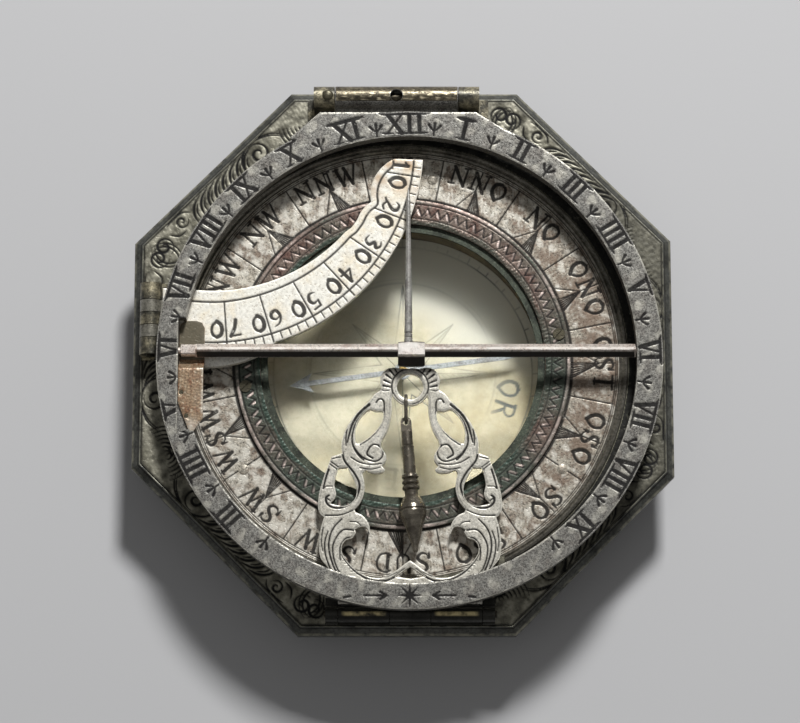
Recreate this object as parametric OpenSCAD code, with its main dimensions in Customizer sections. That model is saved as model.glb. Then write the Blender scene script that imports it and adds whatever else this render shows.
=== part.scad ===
// Universal compass sundial of the folding pocket kind, shown folded flat.
// Origin: middle of the rest face under the compass box, on the compass axis.
// X points east, Y points north towards the twelve o'clock hinge, Z points up.
// All sizes are millimetres.

/* [Plate] */
// Plate beyond the hour ring's radius, at the east and west edges
side_margin = 2.2; // [2:0.05:4]
// Plate beyond the hour ring's radius, at the north edge
north_margin = 3.4; // [3.2:0.05:6]
// Plate beyond the hour ring's radius, at the south edge
south_margin = 2.4; // [2.2:0.05:6]
// Plate beyond the hour ring's radius, at the north-west corner cut
margin_nw = 3.17; // [2:0.01:4.2]
// Plate beyond the hour ring's radius, at the north-east corner cut
margin_ne = 3.38; // [2:0.01:4.2]
// Plate beyond the hour ring's radius, at the south-east corner cut
margin_se = 2.32; // [1.6:0.01:4.2]
// Plate beyond the hour ring's radius, at the south-west corner cut
margin_sw = 1.69; // [1.6:0.01:4.2]
// Thickness of the plate
plate_t = 2.2; // [1.8:0.1:3]
// Height of the plate's top above the rest face
plate_top = 8.8; // [8.4:0.1:12]
// Width of the moulded rim round the plate
rim_w = 1.1; // [0.8:0.05:1.3]
// Height of the sloping part of the rim
rim_slope = 1.0; // [0.6:0.1:1.4]

/* [Compass box] */
// Outer radius of the round compass box
box_r = 18; // [16.5:0.05:19.5]
// Wall of the compass box
box_wall = 0.8; // [0.7:0.05:0.9]
// Thickness of the box floor
box_floor_t = 0.6; // [0.5:0.05:0.8]
// Width of the flange that holds the box under the plate
flange_w = 2.6; // [2.4:0.1:3.2]
// Thickness of that flange
flange_t = 0.7; // [0.6:0.05:0.9]
// Thickness of the bottom cover
cover_t = 0.8; // [0.7:0.05:1]
// Step of the bottom cover beyond the box
cover_lip = 0.9; // [0.5:0.1:1.5]
// Thickness of the compass card
card_t = 0.3; // [0.2:0.05:0.5]
// Thickness of the compass glass
glass_t = 0.6; // [0.5:0.05:0.8]
// Width of the ring that holds the glass down
seat_w = 2.15; // [1.7:0.05:3]

/* [Needle] */
// Length of the needle from its point to its tail
needle_l = 25.6; // [20:0.2:29]
// Width of the needle's shaft
needle_w = 0.55; // [0.4:0.05:1]
// Thickness of the needle
needle_t = 0.25; // [0.2:0.05:0.4]
// Height of the needle above the card
needle_lift = 1.5; // [1.2:0.1:2]
// Direction of the needle's point, degrees from east
needle_turn = 187.7; // [0:0.1:360]

/* [Bezel and direction ring] */
// Width of the zigzag bezel inside the box's rim
bezel_in = 2.2; // [2:0.05:2.4]
// Width of the zigzag bezel outside the box's rim
bezel_over = 0.6; // [0.5:0.05:1]
// Thickness of the zigzag bezel
bezel_t = 0.3; // [0.25:0.05:0.35]
// Thickness of the direction ring
ring_plate_t = 0.5; // [0.4:0.05:0.7]
// Width of the round moulding outside the direction ring
moulding_w = 0.95; // [0.6:0.05:1.1]
// Height of that moulding
moulding_h = 0.4; // [0.25:0.05:0.5]

/* [Hour ring] */
// Outer radius of the hour ring, which the plate and the folded parts follow
hour_r_out = 27.8; // [26:0.05:31]
// Width of the hour ring's face
hour_w = 2.85; // [2.4:0.05:2.9]
// Thickness of the hour ring
hour_t = 1.6; // [1.4:0.05:1.8]
// Height of the hour ring's underside above the plate
hour_lift = 2.4; // [2.4:0.05:2.8]
// Offset of the hour ring's centre to the east
hour_cx = 0.75; // [0.5:0.05:0.8]

/* [Ring hinge] */
// Axis of the ring hinge beyond the hour ring's radius
ring_axis_out = 1.8; // [1.7:0.05:2]
// Height of the ring hinge's axis above the plate
ring_axis_lift = 3.1; // [3:0.05:3.3]
// Radius of the ring hinge's knuckles
ring_knuckle_r = 1.25; // [1.1:0.05:1.35]
// Length of the middle knuckle, which the ring carries
ring_knuckle_l = 13.7; // [12:0.1:14]
// Length of each end knuckle
ring_end_l = 2.3; // [1.8:0.1:3]
// Middle of the ring hinge, east of the compass axis
ring_hinge_cx = -0.7; // [-1:0.05:0.5]
// Radius of the ring hinge's pin
ring_pin_r = 0.5; // [0.4:0.05:0.6]

/* [Latitude arc] */
// Thickness of the arc
arc_t = 0.9; // [0.7:0.05:1]
// Axis of the arc hinge beyond the hour ring's radius
arc_axis_out = 0.1; // [0:0.05:0.4]
// Height of the arc hinge's axis above the plate
arc_axis_lift = 1.5; // [1.4:0.05:1.55]
// Radius of the arc hinge's knuckles
arc_knuckle_r = 1.2; // [1.1:0.05:1.25]
// Length of each of the three middle knuckles
arc_knuckle_l = 1.42; // [1.2:0.02:1.6]
// Length of each end knuckle
arc_end_l = 1.9; // [1.6:0.1:2.2]
// Middle of the arc hinge, north of the compass axis
arc_hinge_cy = 4.65; // [4.5:0.05:4.8]
// Radius of the arc hinge's pin
arc_pin_r = 0.45; // [0.35:0.05:0.5]

/* [Plummet bracket] */
// Thickness of the pierced bracket
bracket_t = 0.8; // [0.6:0.05:0.9]
// Middle of the bracket, east of the compass axis
bracket_cx = 0.8; // [0.6:0.05:1]
// Inner radius of the ring at the bracket's top
eye_r_in = 1.45; // [1.35:0.05:1.5]
// Outer radius of the ring at the bracket's top
eye_r_out = 2.1; // [2:0.05:2.2]
// Axis of the bracket hinge beyond the hour ring's radius
bracket_axis_out = 0.2; // [0.1:0.05:0.4]
// Height of the bracket hinge's axis above the plate
bracket_axis_lift = 1.2; // [1.15:0.05:1.25]
// Radius of the bracket hinge's knuckles
bracket_knuckle_r = 0.9; // [0.8:0.05:0.95]
// Length of each knuckle that the bracket carries
bracket_knuckle_l = 5.6; // [5:0.1:6]
// Length of the fixed middle knuckle
bracket_middle_l = 4.5; // [4:0.1:5]
// Length of each fixed end knuckle
bracket_end_l = 1.4; // [1.2:0.1:2]
// Radius of the bracket hinge's pin
bracket_pin_r = 0.4; // [0.3:0.05:0.45]

/* [Plumb bob] */
// Radius of the bob's round bulb
bob_r = 1.55; // [1.3:0.05:1.6]
// Length of the bob from its eye to its point
bob_l = 14.6; // [14.4:0.1:15.2]
// Radius of the bob's stem below the eye
bob_stem_r = 0.62; // [0.5:0.02:0.7]
// Sideways lean of the bob as it lies folded, degrees
bob_lean = 4.2; // [0:0.1:6]
// Upward lean of the bob, so that its bulb clears the bezel, degrees
bob_rise = 4.6; // [4.2:0.1:5.4]
// Radius of the link's wire
link_wire_r = 0.2; // [0.15:0.01:0.22]

/* [Gnomon] */
// Side of the square gnomon bar, set on its edge
bar_side = 1.05; // [0.8:0.05:1.2]
// Line of the gnomon bar, north of the compass axis
bar_y = 0.8; // [0.6:0.05:0.9]
// Height of the gnomon bar's axis above the plate
bar_lift = 3.2; // [3.15:0.05:3.25]
// Length of the stylus from the boss to its point
stylus_l = 17.6; // [14:0.1:19]
// Radius of the stylus at its foot
stylus_r = 0.45; // [0.3:0.05:0.5]
// Radius of the pivots at the ends of the bar
pivot_r = 0.35; // [0.3:0.01:0.4]
// Width of the detent spring
spring_w = 2.75; // [2.4:0.05:3]
// Thickness of the detent spring
spring_t = 0.3; // [0.25:0.05:0.35]

/* [Fits] */
// Radial running clearance of each hinge pin
pin_gap = 0.04; // [0.02:0.01:0.08]
// Gap between the ends of neighbouring knuckles
knuckle_gap = 0.07; // [0.04:0.01:0.1]
// Radial gap of parts that drop into each other
seat_gap = 0.05; // [0.03:0.01:0.08]

/* [Hidden] */
$fn = 96;
cut = 0.02;
face_gap = 0.05;

east_reach = hour_r_out + side_margin;
north_reach = hour_r_out + north_margin;
south_reach = hour_r_out + south_margin;
hour_r_in = hour_r_out - hour_w;
ring_plate_r = hour_r_in - moulding_w;
ring_axis_y = hour_r_out + ring_axis_out;
arc_axis_x = hour_r_out + arc_axis_out;
bracket_axis_y = hour_r_out + bracket_axis_out;

plate_under = plate_top - plate_t;
bore_r = box_r + seat_gap;
box_in_r = box_r - box_wall;
bezel_r_in = box_r - bezel_in;
bezel_r_out = box_r + bezel_over;
floor_z = cover_t + 0.8;
card_z = floor_z + box_floor_t;
card_r = box_in_r - 2 * box_wall;
glass_z = plate_top - glass_t - 0.5;
shelf_r = card_r + seat_gap;
glass_r = box_in_r - seat_gap;
needle_z = card_z + card_t + needle_lift;
cover_r = box_r + cover_lip;

screw_head_r = 0.9;
screw_head_h = 0.5;
screw_r = 0.45;
screw_hole_r = screw_r + seat_gap;
cover_screw_at = box_in_r - 4.2;
cover_screw_turns = [90, 210, 330];
cover_screw_in = 0.2;
cover_boss_r = 1.3;
box_screw_turns = [45, 135, 225, 315];
box_screw_at = box_r + flange_w / 2;
box_screw_in = 1.2;
bezel_screw_at = box_r - box_wall / 2;
bezel_screw_turns = [188.7, 10.6];
bezel_screw_r = 0.25;
bezel_head_r = 0.66;
bezel_head_h = 0.22;
rivet_at = bezel_r_out + 0.48 * (ring_plate_r - bezel_r_out);
rivet_turns = [81, 214.3, 325.9];
rivet_r = 0.3;
rivet_head_r = 0.62;
rivet_head_h = 0.18;

ring_axis_z = plate_top + ring_axis_lift;
hour_z = plate_top + hour_lift;
hour_top = hour_z + hour_t;
arc_axis_z = plate_top + arc_axis_lift;
bracket_axis_z = plate_top + bracket_axis_lift;
bar_z = plate_top + bar_lift;

// Needle with its barbed point, its pivot and cap
barb_l = 2.6;
barb_w = 1.1;
stem_r = 0.25;
cap_r = 0.5;
cap_h = 0.9;
cap_bore = stem_r + 0.08;
point_z = needle_z + cap_h - 0.32;

// Ring hinge
ring_end_x0 = ring_hinge_cx - ring_knuckle_l / 2 - knuckle_gap - ring_end_l;
ring_end_x1 = ring_hinge_cx + ring_knuckle_l / 2 + knuckle_gap + ring_end_l;
ring_leaf_t = 0.5;
ring_rivet_x = ring_end_x0 + ring_end_l - 0.75;
ring_rivet_r = 0.3;
ring_rivet_head_r = 0.6;
ring_rivet_seat = ring_knuckle_r - 0.1;
oil_hole_r = 0.7;

// Hour ring
lug_y = hour_r_out - 0.1;
lug_west = 9.95;
lug_east = 7.4;
spring_x0 = hour_cx - hour_r_in - 0.4;
spring_south = -8.4;
spring_north = 4.3;
spring_step = -1.5;

// Gnomon bar
bar_end_l = 1.6;
block_half = 0.62;
block_r = 0.72;
bar_x0 = hour_cx - hour_r_in - 0.15;
bar_x1 = hour_cx + hour_r_in - face_gap - 0.05;
pivot_l = 1;
boss_x0 = -0.5;
boss_x1 = 2.4;
stylus_x = 0.62;
spring_rivet_r = 0.22;

// Latitude arc
arc_hinge_l = 2 * arc_end_l + 3 * arc_knuckle_l;
arc_y0 = arc_hinge_cy - arc_hinge_l / 2;
function arc_knuckle_y(i) = arc_y0 + (i == 0 ? 0 : arc_end_l + (i - 1) * arc_knuckle_l);
function arc_knuckle_len(i) = (i == 0 || i == 4) ? arc_end_l : arc_knuckle_l;
arc_post_x0 = rim_w - east_reach;
arc_root_x = arc_axis_x - arc_knuckle_r - 0.15;

// The arc is drawn for a hinge axis at this distance, and its drawing is sized to the real one.
arc_drawn_at = 27.9;
arc_size = arc_axis_x / arc_drawn_at;
arc_r = 23.4;
arc_c = [-21.1, 24.35];
arc_hollow_r = 19.4;
arc_hollow_c = [-21.05, 27.2];
arc_scallop_r = 4.55;
arc_scallop_c = [0.95, 18.75];
arc_root_y = [1.3, 8.1];

// Plummet bracket
bracket_in_x = bracket_middle_l / 2;
bracket_out_x = bracket_in_x + bracket_knuckle_l;
foot_y = bracket_axis_y - bracket_knuckle_r - 0.15;

// The bracket is drawn for a hinge axis at this distance, and sized in the same way.
bracket_drawn_at = 28;
bracket_size = bracket_axis_y / bracket_drawn_at;
eye_y = -2.93 * bracket_size;

// Link and bob
link_r = 0.8;
link_l = 1.4;
tab_r = 0.6;
link_x = bracket_cx - 0.45;
rim_mid_y = eye_y - (eye_r_in + eye_r_out) / 2;
bob_eye_y = rim_mid_y - link_l - link_r;

// Corners of the plate, moved inwards by d all round. Each cut crosses its corner at its own
// margin beyond the hour ring's radius, which gives the length of the cut's legs.
function leg(reach, margin, d) =
    east_reach + reach - sqrt(2) * (hour_r_out + margin) - d * (2 - sqrt(2));
function octagon(d) = let (
        e = east_reach - d, n = north_reach - d, s = d - south_reach,
        nw = leg(north_reach, margin_nw, d), ne = leg(north_reach, margin_ne, d),
        se = leg(south_reach, margin_se, d), sw = leg(south_reach, margin_sw, d)
    ) [
        [e, s + se], [e, n - ne], [e - ne, n], [nw - e, n],
        [-e, n - nw], [-e, s + sw], [sw - e, s], [e - se, s]
    ];

// Points along a circle's arc, from angle a to angle b in n steps.
function arc_points(c, r, a, b, n) =
    [for (i = [0 : n]) let (t = a + (b - a) * i / n) c + r * [cos(t), sin(t)]];

// Points along a smooth curve through the knots p, in n steps between two knots.
function knot(p, i) = p[max(0, min(len(p) - 1, i))];
function curve(p, n) = concat(
    [for (i = [0 : len(p) - 2]) for (j = [0 : n - 1]) let (
        t = j / n, a = knot(p, i - 1), b = knot(p, i), c = knot(p, i + 1), d = knot(p, i + 2)
    ) (2 * b + (c - a) * t + (2 * a - 5 * b + 4 * c - d) * t * t
        + (3 * b - a - 3 * c + d) * t * t * t) / 2],
    [p[len(p) - 1]]);

function sized(p, k) = [for (q = p) k * q];

// The outline p followed by its mirror image, from the end back to the start.
function both_halves(p) = concat(p, [for (i = [len(p) - 1 : -1 : 0]) [-p[i].x, p[i].y]]);

module disc(r, z, h) translate([0, 0, z]) cylinder(r = r, h = h);

module tube(r_out, r_in, z, h) {
    difference() {
        disc(r_out, z, h);
        disc(r_in, z - cut, h + 2 * cut);
    }
}

// A rod along X from x0 with length l.
module rod_x(r, x0, l, y, z) {
    translate([x0, y, z]) rotate([0, 90, 0]) cylinder(r = r, h = l);
}

// A rod along Y from y0 with length l.
module rod_y(r, y0, l, x, z) {
    translate([x, y0, z]) rotate([-90, 0, 0]) cylinder(r = r, h = l);
}

module box_at(x0, x1, y0, y1, z0, z1) {
    translate([x0, y0, z0]) cube([x1 - x0, y1 - y0, z1 - z0]);
}

module around(r, turns) {
    for (t = turns) rotate([0, 0, t]) translate([r, 0, 0]) children();
}

// Base

module base_plate() {
    color("#6d6a5c") difference() {
        translate([0, 0, plate_under]) linear_extrude(plate_t) polygon(octagon(rim_w));
        disc(bore_r, plate_under - cut, plate_t + 2 * cut);
        disc(ring_plate_r + seat_gap, plate_top - ring_plate_t, ring_plate_t + cut);
        around(box_screw_at, box_screw_turns)
            disc(screw_hole_r, plate_under - cut, box_screw_in + 2 * seat_gap);
        around(rivet_at, rivet_turns)
            disc(rivet_r + seat_gap, plate_under + 0.8, plate_t);
    }
}

module rim_moulding() {
    color("#54564f") difference() {
        hull() {
            translate([0, 0, plate_under])
                linear_extrude(plate_t - rim_slope) polygon(octagon(0));
            translate([0, 0, plate_top - cut])
                linear_extrude(cut) polygon(octagon(rim_w - cut));
        }
        translate([0, 0, plate_under - 1])
            linear_extrude(plate_t + 2) polygon(octagon(rim_w));
    }
}

module compass_box() {
    color("#8a7a55") difference() {
        union() {
            disc(box_r, floor_z, plate_top - floor_z);
            tube(box_r, box_in_r, cover_t, floor_z - cover_t + cut);
            around(cover_screw_at, cover_screw_turns)
                disc(cover_boss_r, cover_t, floor_z - cover_t + cut);
            tube(box_r + flange_w, box_r - cut, plate_under - flange_t, flange_t);
        }
        disc(shelf_r, card_z, plate_top);
        disc(box_in_r, glass_z, plate_top);
        around(cover_screw_at, cover_screw_turns)
            disc(screw_hole_r, cover_t - cut, floor_z - cover_t + cover_screw_in + 0.2);
        around(box_screw_at, box_screw_turns)
            disc(screw_hole_r, plate_under - flange_t - cut, flange_t + 2 * cut);
        around(bezel_screw_at, bezel_screw_turns)
            disc(bezel_screw_r + cut, plate_top - 1, 1 + cut);
    }
}

module box_screws() {
    color("#9a9078") around(box_screw_at, box_screw_turns) difference() {
        union() {
            disc(screw_r, plate_under - flange_t, flange_t + box_screw_in);
            disc(screw_head_r, plate_under - flange_t - screw_head_h, screw_head_h);
        }
        translate([-screw_head_r, -0.12, plate_under - flange_t - screw_head_h - cut])
            cube([2 * screw_head_r, 0.24, 0.2]);
    }
}

module bottom_cover() {
    color("#75705f") difference() {
        union() {
            rotate_extrude() polygon([
                [0, 0], [cover_r - 0.3, 0], [cover_r, 0.3],
                [cover_r, cover_t - 0.2], [cover_r - 0.2, cover_t], [0, cover_t]
            ]);
            tube(box_in_r - seat_gap, box_in_r - box_wall, cover_t - cut, floor_z - cover_t - face_gap);
        }
        around(cover_screw_at, cover_screw_turns) {
            disc(screw_head_r + seat_gap, -cut, screw_head_h + seat_gap);
            disc(screw_hole_r, -cut, cover_t + 2 * cut);
        }
    }
}

module cover_screws() {
    color("#9a9078") around(cover_screw_at, cover_screw_turns) difference() {
        union() {
            disc(screw_head_r, 0.05, screw_head_h - 0.05);
            disc(screw_r, 0.05, floor_z + cover_screw_in - 0.05);
        }
        translate([-screw_head_r, -0.12, 0.05 - cut]) cube([2 * screw_head_r, 0.24, 0.2]);
    }
}

// Compass

module compass_card() {
    color("#ddd5b0") difference() {
        disc(card_r, card_z, card_t);
        disc(stem_r + cut, card_z - cut, card_t + 2 * cut);
    }
}

module needle_pivot() {
    color("#8c8f92") union() {
        disc(stem_r, card_z, point_z - 0.3 - card_z);
        translate([0, 0, point_z - 0.3]) cylinder(r1 = stem_r, r2 = 0.05, h = 0.3);
    }
}

module compass_needle() {
    half = needle_l / 2;
    color("#8f9296") rotate([0, 0, needle_turn]) difference() {
        translate([0, 0, needle_z]) linear_extrude(needle_t) union() {
            polygon([
                [half, 0], [half - barb_l, barb_w], [half - barb_l + 0.5, needle_w / 2],
                [-half + 1.2, needle_w / 2], [-half, needle_w / 5],
                [-half, -needle_w / 5], [-half + 1.2, -needle_w / 2],
                [half - barb_l + 0.5, -needle_w / 2], [half - barb_l, -barb_w]
            ]);
            circle(r = cap_r + 0.45);
        }
        disc(cap_r + cut, needle_z - 1, 3);
    }
}

module needle_cap() {
    color("#b08d3e") difference() {
        translate([0, 0, needle_z - 0.15]) rotate_extrude() polygon([
            [0, 0], [cap_r, 0], [cap_r, needle_t + 0.15],
            [cap_r - 0.02, cap_h - 0.2], [0.22, cap_h + 0.15], [0, cap_h + 0.15]
        ]);
        disc(cap_bore, needle_z - 1, point_z - 0.3 - needle_z + 1 + cut);
        translate([0, 0, point_z - 0.3])
            cylinder(r1 = cap_bore, r2 = 0.06, h = 0.36);
    }
}

module compass_glass() {
    color("#dfe6df", 0.35) disc(glass_r, glass_z, glass_t);
}

module glass_seat_ring() {
    seat_z = glass_z + glass_t;
    color("#4d6e5e") tube(glass_r, glass_r - seat_w, seat_z, plate_top - seat_z - face_gap);
}

module zigzag_bezel() {
    color("#8b5a4e") difference() {
        tube(bezel_r_out, bezel_r_in, plate_top, bezel_t);
        around(bezel_screw_at, bezel_screw_turns)
            disc(bezel_screw_r + cut, plate_top - cut, bezel_t + 2 * cut);
    }
}

module bezel_screws() {
    color("#8e8a6a") around(bezel_screw_at, bezel_screw_turns) difference() {
        union() {
            disc(bezel_screw_r, plate_top - 0.95, 0.95 + bezel_t + cut);
            disc(bezel_head_r, plate_top + bezel_t, bezel_head_h);
        }
        rotate([0, 0, 40]) translate([-bezel_head_r, -0.08, plate_top + bezel_t + 0.1])
            cube([2 * bezel_head_r, 0.16, bezel_head_h]);
    }
}

module direction_ring() {
    color("#9c938a") difference() {
        tube(ring_plate_r, bore_r, plate_top - ring_plate_t, ring_plate_t);
        around(rivet_at, rivet_turns)
            disc(rivet_r + cut, plate_top - ring_plate_t - cut, ring_plate_t + 2 * cut);
    }
}

module direction_ring_rivets() {
    color("#8b847a") around(rivet_at, rivet_turns) {
        disc(rivet_r, plate_under + 0.85, plate_top - plate_under - 0.85);
        translate([0, 0, plate_top]) rotate_extrude() polygon(concat(
            [[0, 0]], [for (i = [0 : 4]) let (t = i * 22.5)
                [rivet_head_r * cos(t), rivet_head_h * sin(t)]]));
    }
}

module circle_moulding() {
    r = ring_plate_r + seat_gap;
    gap_half = bracket_out_x + bracket_end_l + 1.15;
    color("#8f897c") difference() {
        translate([0, 0, plate_top]) rotate_extrude() polygon([
            [r, 0], [r, moulding_h * 0.6], [r + moulding_w * 0.2, moulding_h],
            [r + moulding_w * 0.4, moulding_h * 0.5], [r + moulding_w * 0.6, moulding_h],
            [r + moulding_w * 0.85, moulding_h * 0.7], [r + moulding_w, 0]
        ]);
        box_at(bracket_cx - gap_half, bracket_cx + gap_half, -south_reach, 0, plate_top - 1, hour_top);
    }
}

// Ring hinge, at the north edge

module ring_hinge_block() {
    block_n = north_reach - 0.35;
    color("#5d5c54") difference() {
        union() {
            box_at(ring_end_x0 - 0.7, ring_end_x1 + 1.1, ring_axis_y - 2.8, north_reach - rim_w,
                plate_top, plate_top + ring_leaf_t);
            for (x = [ring_end_x0, ring_end_x1 - ring_end_l]) {
                box_at(x, x + ring_end_l, ring_axis_y - ring_knuckle_r, block_n,
                    plate_top, ring_axis_z);
                rod_x(ring_knuckle_r, x, ring_end_l, ring_axis_y, ring_axis_z);
            }
        }
        rod_x(ring_pin_r + pin_gap, ring_end_x0 - 1, ring_end_x1 - ring_end_x0 + 2,
            ring_axis_y, ring_axis_z);
        translate([ring_rivet_x, ring_axis_y, ring_axis_z])
            cylinder(r = ring_rivet_r + cut, h = 3);
        translate([ring_rivet_x, ring_axis_y, ring_axis_z + ring_rivet_seat])
            cylinder(r = ring_rivet_head_r + cut, h = 3);
    }
}

module ring_hinge_pin() {
    color("#8a7b4c") difference() {
        rod_x(ring_pin_r, ring_end_x0 + 0.05, ring_end_x1 - ring_end_x0 - 0.1,
            ring_axis_y, ring_axis_z);
        translate([ring_rivet_x, ring_axis_y, ring_axis_z])
            cylinder(r = ring_rivet_r + cut, h = 3);
    }
}

module ring_hinge_rivet() {
    color("#7d735a") translate([ring_rivet_x, ring_axis_y, ring_axis_z]) union() {
        translate([0, 0, 0.05]) cylinder(r = ring_rivet_r, h = ring_rivet_seat);
        translate([0, 0, ring_rivet_seat]) rotate_extrude() polygon(concat(
            [[0, 0]], [for (i = [0 : 4]) let (t = i * 22.5)
                [ring_rivet_head_r * cos(t), 0.32 * sin(t)]]));
    }
}

// Hour ring with its lug, its middle knuckle and the seats of the gnomon bar

module hour_ring() {
    knuckle_x0 = ring_hinge_cx - ring_knuckle_l / 2;
    color("#8d8b84") difference() {
        union() {
            translate([hour_cx, 0, hour_z]) linear_extrude(hour_t) polygon_lug();
            translate([hour_cx, 0, 0]) disc(hour_r_out, hour_z, hour_t);
            box_at(knuckle_x0, knuckle_x0 + ring_knuckle_l, lug_y - 1, ring_axis_y,
                hour_z, ring_axis_z);
            rod_x(ring_knuckle_r, knuckle_x0, ring_knuckle_l, ring_axis_y, ring_axis_z);
        }
        translate([hour_cx, 0, 0]) disc(hour_r_in, hour_z - cut, hour_t + 2 * cut);
        rod_x(ring_pin_r + pin_gap, knuckle_x0 - 1, ring_knuckle_l + 2, ring_axis_y, ring_axis_z);
        translate([ring_hinge_cx, ring_axis_y, ring_axis_z]) cylinder(r = oil_hole_r, h = 3);
        rod_x(pivot_r + pin_gap, bar_x0 - pivot_l - 0.1, bar_x1 - bar_x0 + 2 * pivot_l + 0.2,
            bar_y, bar_z);
        box_at(spring_x0 - seat_gap, hour_cx - hour_r_in + 3, spring_step - seat_gap,
            spring_north + seat_gap, hour_z - 1, hour_top + 1);
        box_at(spring_x0 - seat_gap, hour_cx - hour_r_in + 3, spring_south - seat_gap,
            spring_step, hour_top - spring_t, hour_top + 1);
        spring_rivet_places() cylinder(r = spring_rivet_r + cut, h = hour_t);
    }
}

module polygon_lug() {
    polygon([
        [-lug_west, lug_y], [lug_east, lug_y],
        [lug_east + 6.9, lug_y - 4.3], [-lug_west - 3.3, lug_y - 2.9]
    ]);
}

// Gnomon

module gnomon_bar() {
    color("#b7aaa0") union() {
        difference() {
            translate([bar_x0 + bar_end_l - cut, bar_y, bar_z]) rotate([0, 90, 0])
                rotate([0, 0, 45]) translate([-bar_side / 2, -bar_side / 2, 0])
                    cube([bar_side, bar_side, bar_x1 - bar_x0 - bar_end_l]);
            box_at(boss_x0 + 0.1, boss_x1 - 0.1, bar_y - 2, bar_y + 2, bar_z - 2, bar_z + 2);
        }
        intersection() {
            box_at(bar_x0, bar_x0 + bar_end_l, bar_y - block_half, bar_y + block_half,
                bar_z - block_half, bar_z + block_half);
            rod_x(block_r, bar_x0 - cut, bar_end_l + 2 * cut, bar_y, bar_z);
        }
        rod_x(pivot_r, bar_x0 - pivot_l, pivot_l + 0.5, bar_y, bar_z);
        rod_x(pivot_r, bar_x1 - 0.5, pivot_l + 0.5, bar_y, bar_z);
        difference() {
            translate([0, bar_y, 0]) rotate([0, -90, 0]) translate([0, 0, -boss_x1])
                linear_extrude(boss_x1 - boss_x0) polygon([
                    [bar_z + 0.75, -0.55], [bar_z + 0.75, 0.55], [bar_z + 0.3, 0.85],
                    [bar_z - 0.9, 0.85], [bar_z - 1.2, 0.4], [bar_z - 1.2, -1.3],
                    [bar_z - 0.9, -1.55], [bar_z - 0.35, -1.55], [bar_z + 0.3, -0.85]
                ]);
            rod_y(stylus_r * 0.8 + cut, bar_y - 0.2, 3, stylus_x, bar_z);
        }
    }
}

module gnomon_stylus() {
    foot = bar_y + 0.85;
    color("#8e8d8a") translate([stylus_x, foot, bar_z]) rotate([-90, 0, 0]) rotate_extrude()
        polygon([
            [0, -0.9], [stylus_r * 0.8, -0.9], [stylus_r * 0.8, 0], [stylus_r, 0.02],
            [stylus_r, 0.5], [stylus_r * 0.8, 0.6], [stylus_r, 0.75], [stylus_r, 1.0],
            [stylus_r * 0.8, 1.1], [stylus_r, 1.25], [stylus_r * 0.95, 2.2],
            [stylus_r * 0.5, stylus_l - 1.5], [0.05, stylus_l], [0, stylus_l]
        ]);
}

module spring_rivet_places() {
    for (p = [[0.38, -4.0], [0.95, -6.6]])
        translate([spring_x0 + p.x, p.y, hour_z - cut]) children();
}

// The spring lies flush in the ring's face at its south end and dips under the bar's end.
module detent_spring() {
    top = hour_top;
    low = bar_z - block_r - face_gap;
    color("#7a5238") difference() {
        intersection() {
            translate([spring_x0 + spring_w, 0, 0]) rotate([0, -90, 0]) linear_extrude(spring_w)
                polygon([
                    [top, spring_south], [top, spring_step + 0.22], [low + 0.12, spring_step + 1.05],
                    [low, bar_y - 0.85], [low - 0.05, spring_north],
                    [low - 0.05 - spring_t, spring_north], [low - spring_t, bar_y - 0.95],
                    [low + 0.1 - spring_t, spring_step + 0.87],
                    [top - spring_t, spring_step + 0.05], [top - spring_t, spring_south]
                ]);
            translate([spring_x0, 0, 0]) linear_extrude(hour_top + 1) polygon([
                [0, spring_south + 3.4], [1.3, spring_south], [1.7, spring_south],
                [spring_w, spring_south + 1.5], [spring_w, spring_north - 0.8],
                [spring_w - 0.3, spring_north - 0.2], [spring_w - 0.9, spring_north],
                [0.6, spring_north], [0.1, spring_north - 0.4], [0, spring_north - 0.9]
            ]);
        }
        spring_rivet_places() cylinder(r = spring_rivet_r + cut, h = hour_t + 1);
    }
}

module spring_rivets() {
    color("#6d6a60") spring_rivet_places() cylinder(r = spring_rivet_r, h = hour_t + 0.1);
}

// Latitude arc and its hinge, at the west edge

module arc_knuckle(i) {
    y0 = arc_knuckle_y(i) + (i == 0 ? 0 : knuckle_gap / 2);
    y1 = arc_knuckle_y(i) + arc_knuckle_len(i) - (i == 4 ? 0 : knuckle_gap / 2);
    rod_y(arc_knuckle_r, y0, y1 - y0, -arc_axis_x, arc_axis_z);
}

module arc_hinge_block() {
    color("#5b5a52") difference() {
        union() {
            box_at(arc_post_x0, -arc_axis_x + arc_knuckle_r + 0.6, arc_y0 - 0.3,
                arc_y0 + arc_hinge_l + 0.3, plate_top, plate_top + 0.15);
            for (i = [0, 2, 4]) {
                y0 = arc_knuckle_y(i) + (i == 0 ? 0 : knuckle_gap / 2);
                y1 = arc_knuckle_y(i) + arc_knuckle_len(i) - (i == 4 ? 0 : knuckle_gap / 2);
                arc_knuckle(i);
                box_at(arc_post_x0, -arc_axis_x + 0.6, y0, y1, plate_top, arc_axis_z);
            }
        }
        rod_y(arc_pin_r + pin_gap, arc_y0 - 1, arc_hinge_l + 2, -arc_axis_x, arc_axis_z);
    }
}

module arc_hinge_pin() {
    color("#8a7b4c") rod_y(arc_pin_r, arc_y0 - 0.15, arc_hinge_l + 0.3, -arc_axis_x, arc_axis_z);
}

module arc_knuckles() {
    color("#7b776c") difference() {
        union() for (i = [1, 3]) {
            y0 = arc_knuckle_y(i) + knuckle_gap / 2;
            y1 = y0 + arc_knuckle_l - knuckle_gap;
            arc_knuckle(i);
            box_at(-arc_axis_x, -arc_root_x, y0, y1,
                arc_axis_z - arc_t / 2, arc_axis_z + arc_t / 2);
        }
        rod_y(arc_pin_r + pin_gap, arc_y0 - 1, arc_hinge_l + 2, -arc_axis_x, arc_axis_z);
    }
}

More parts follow.
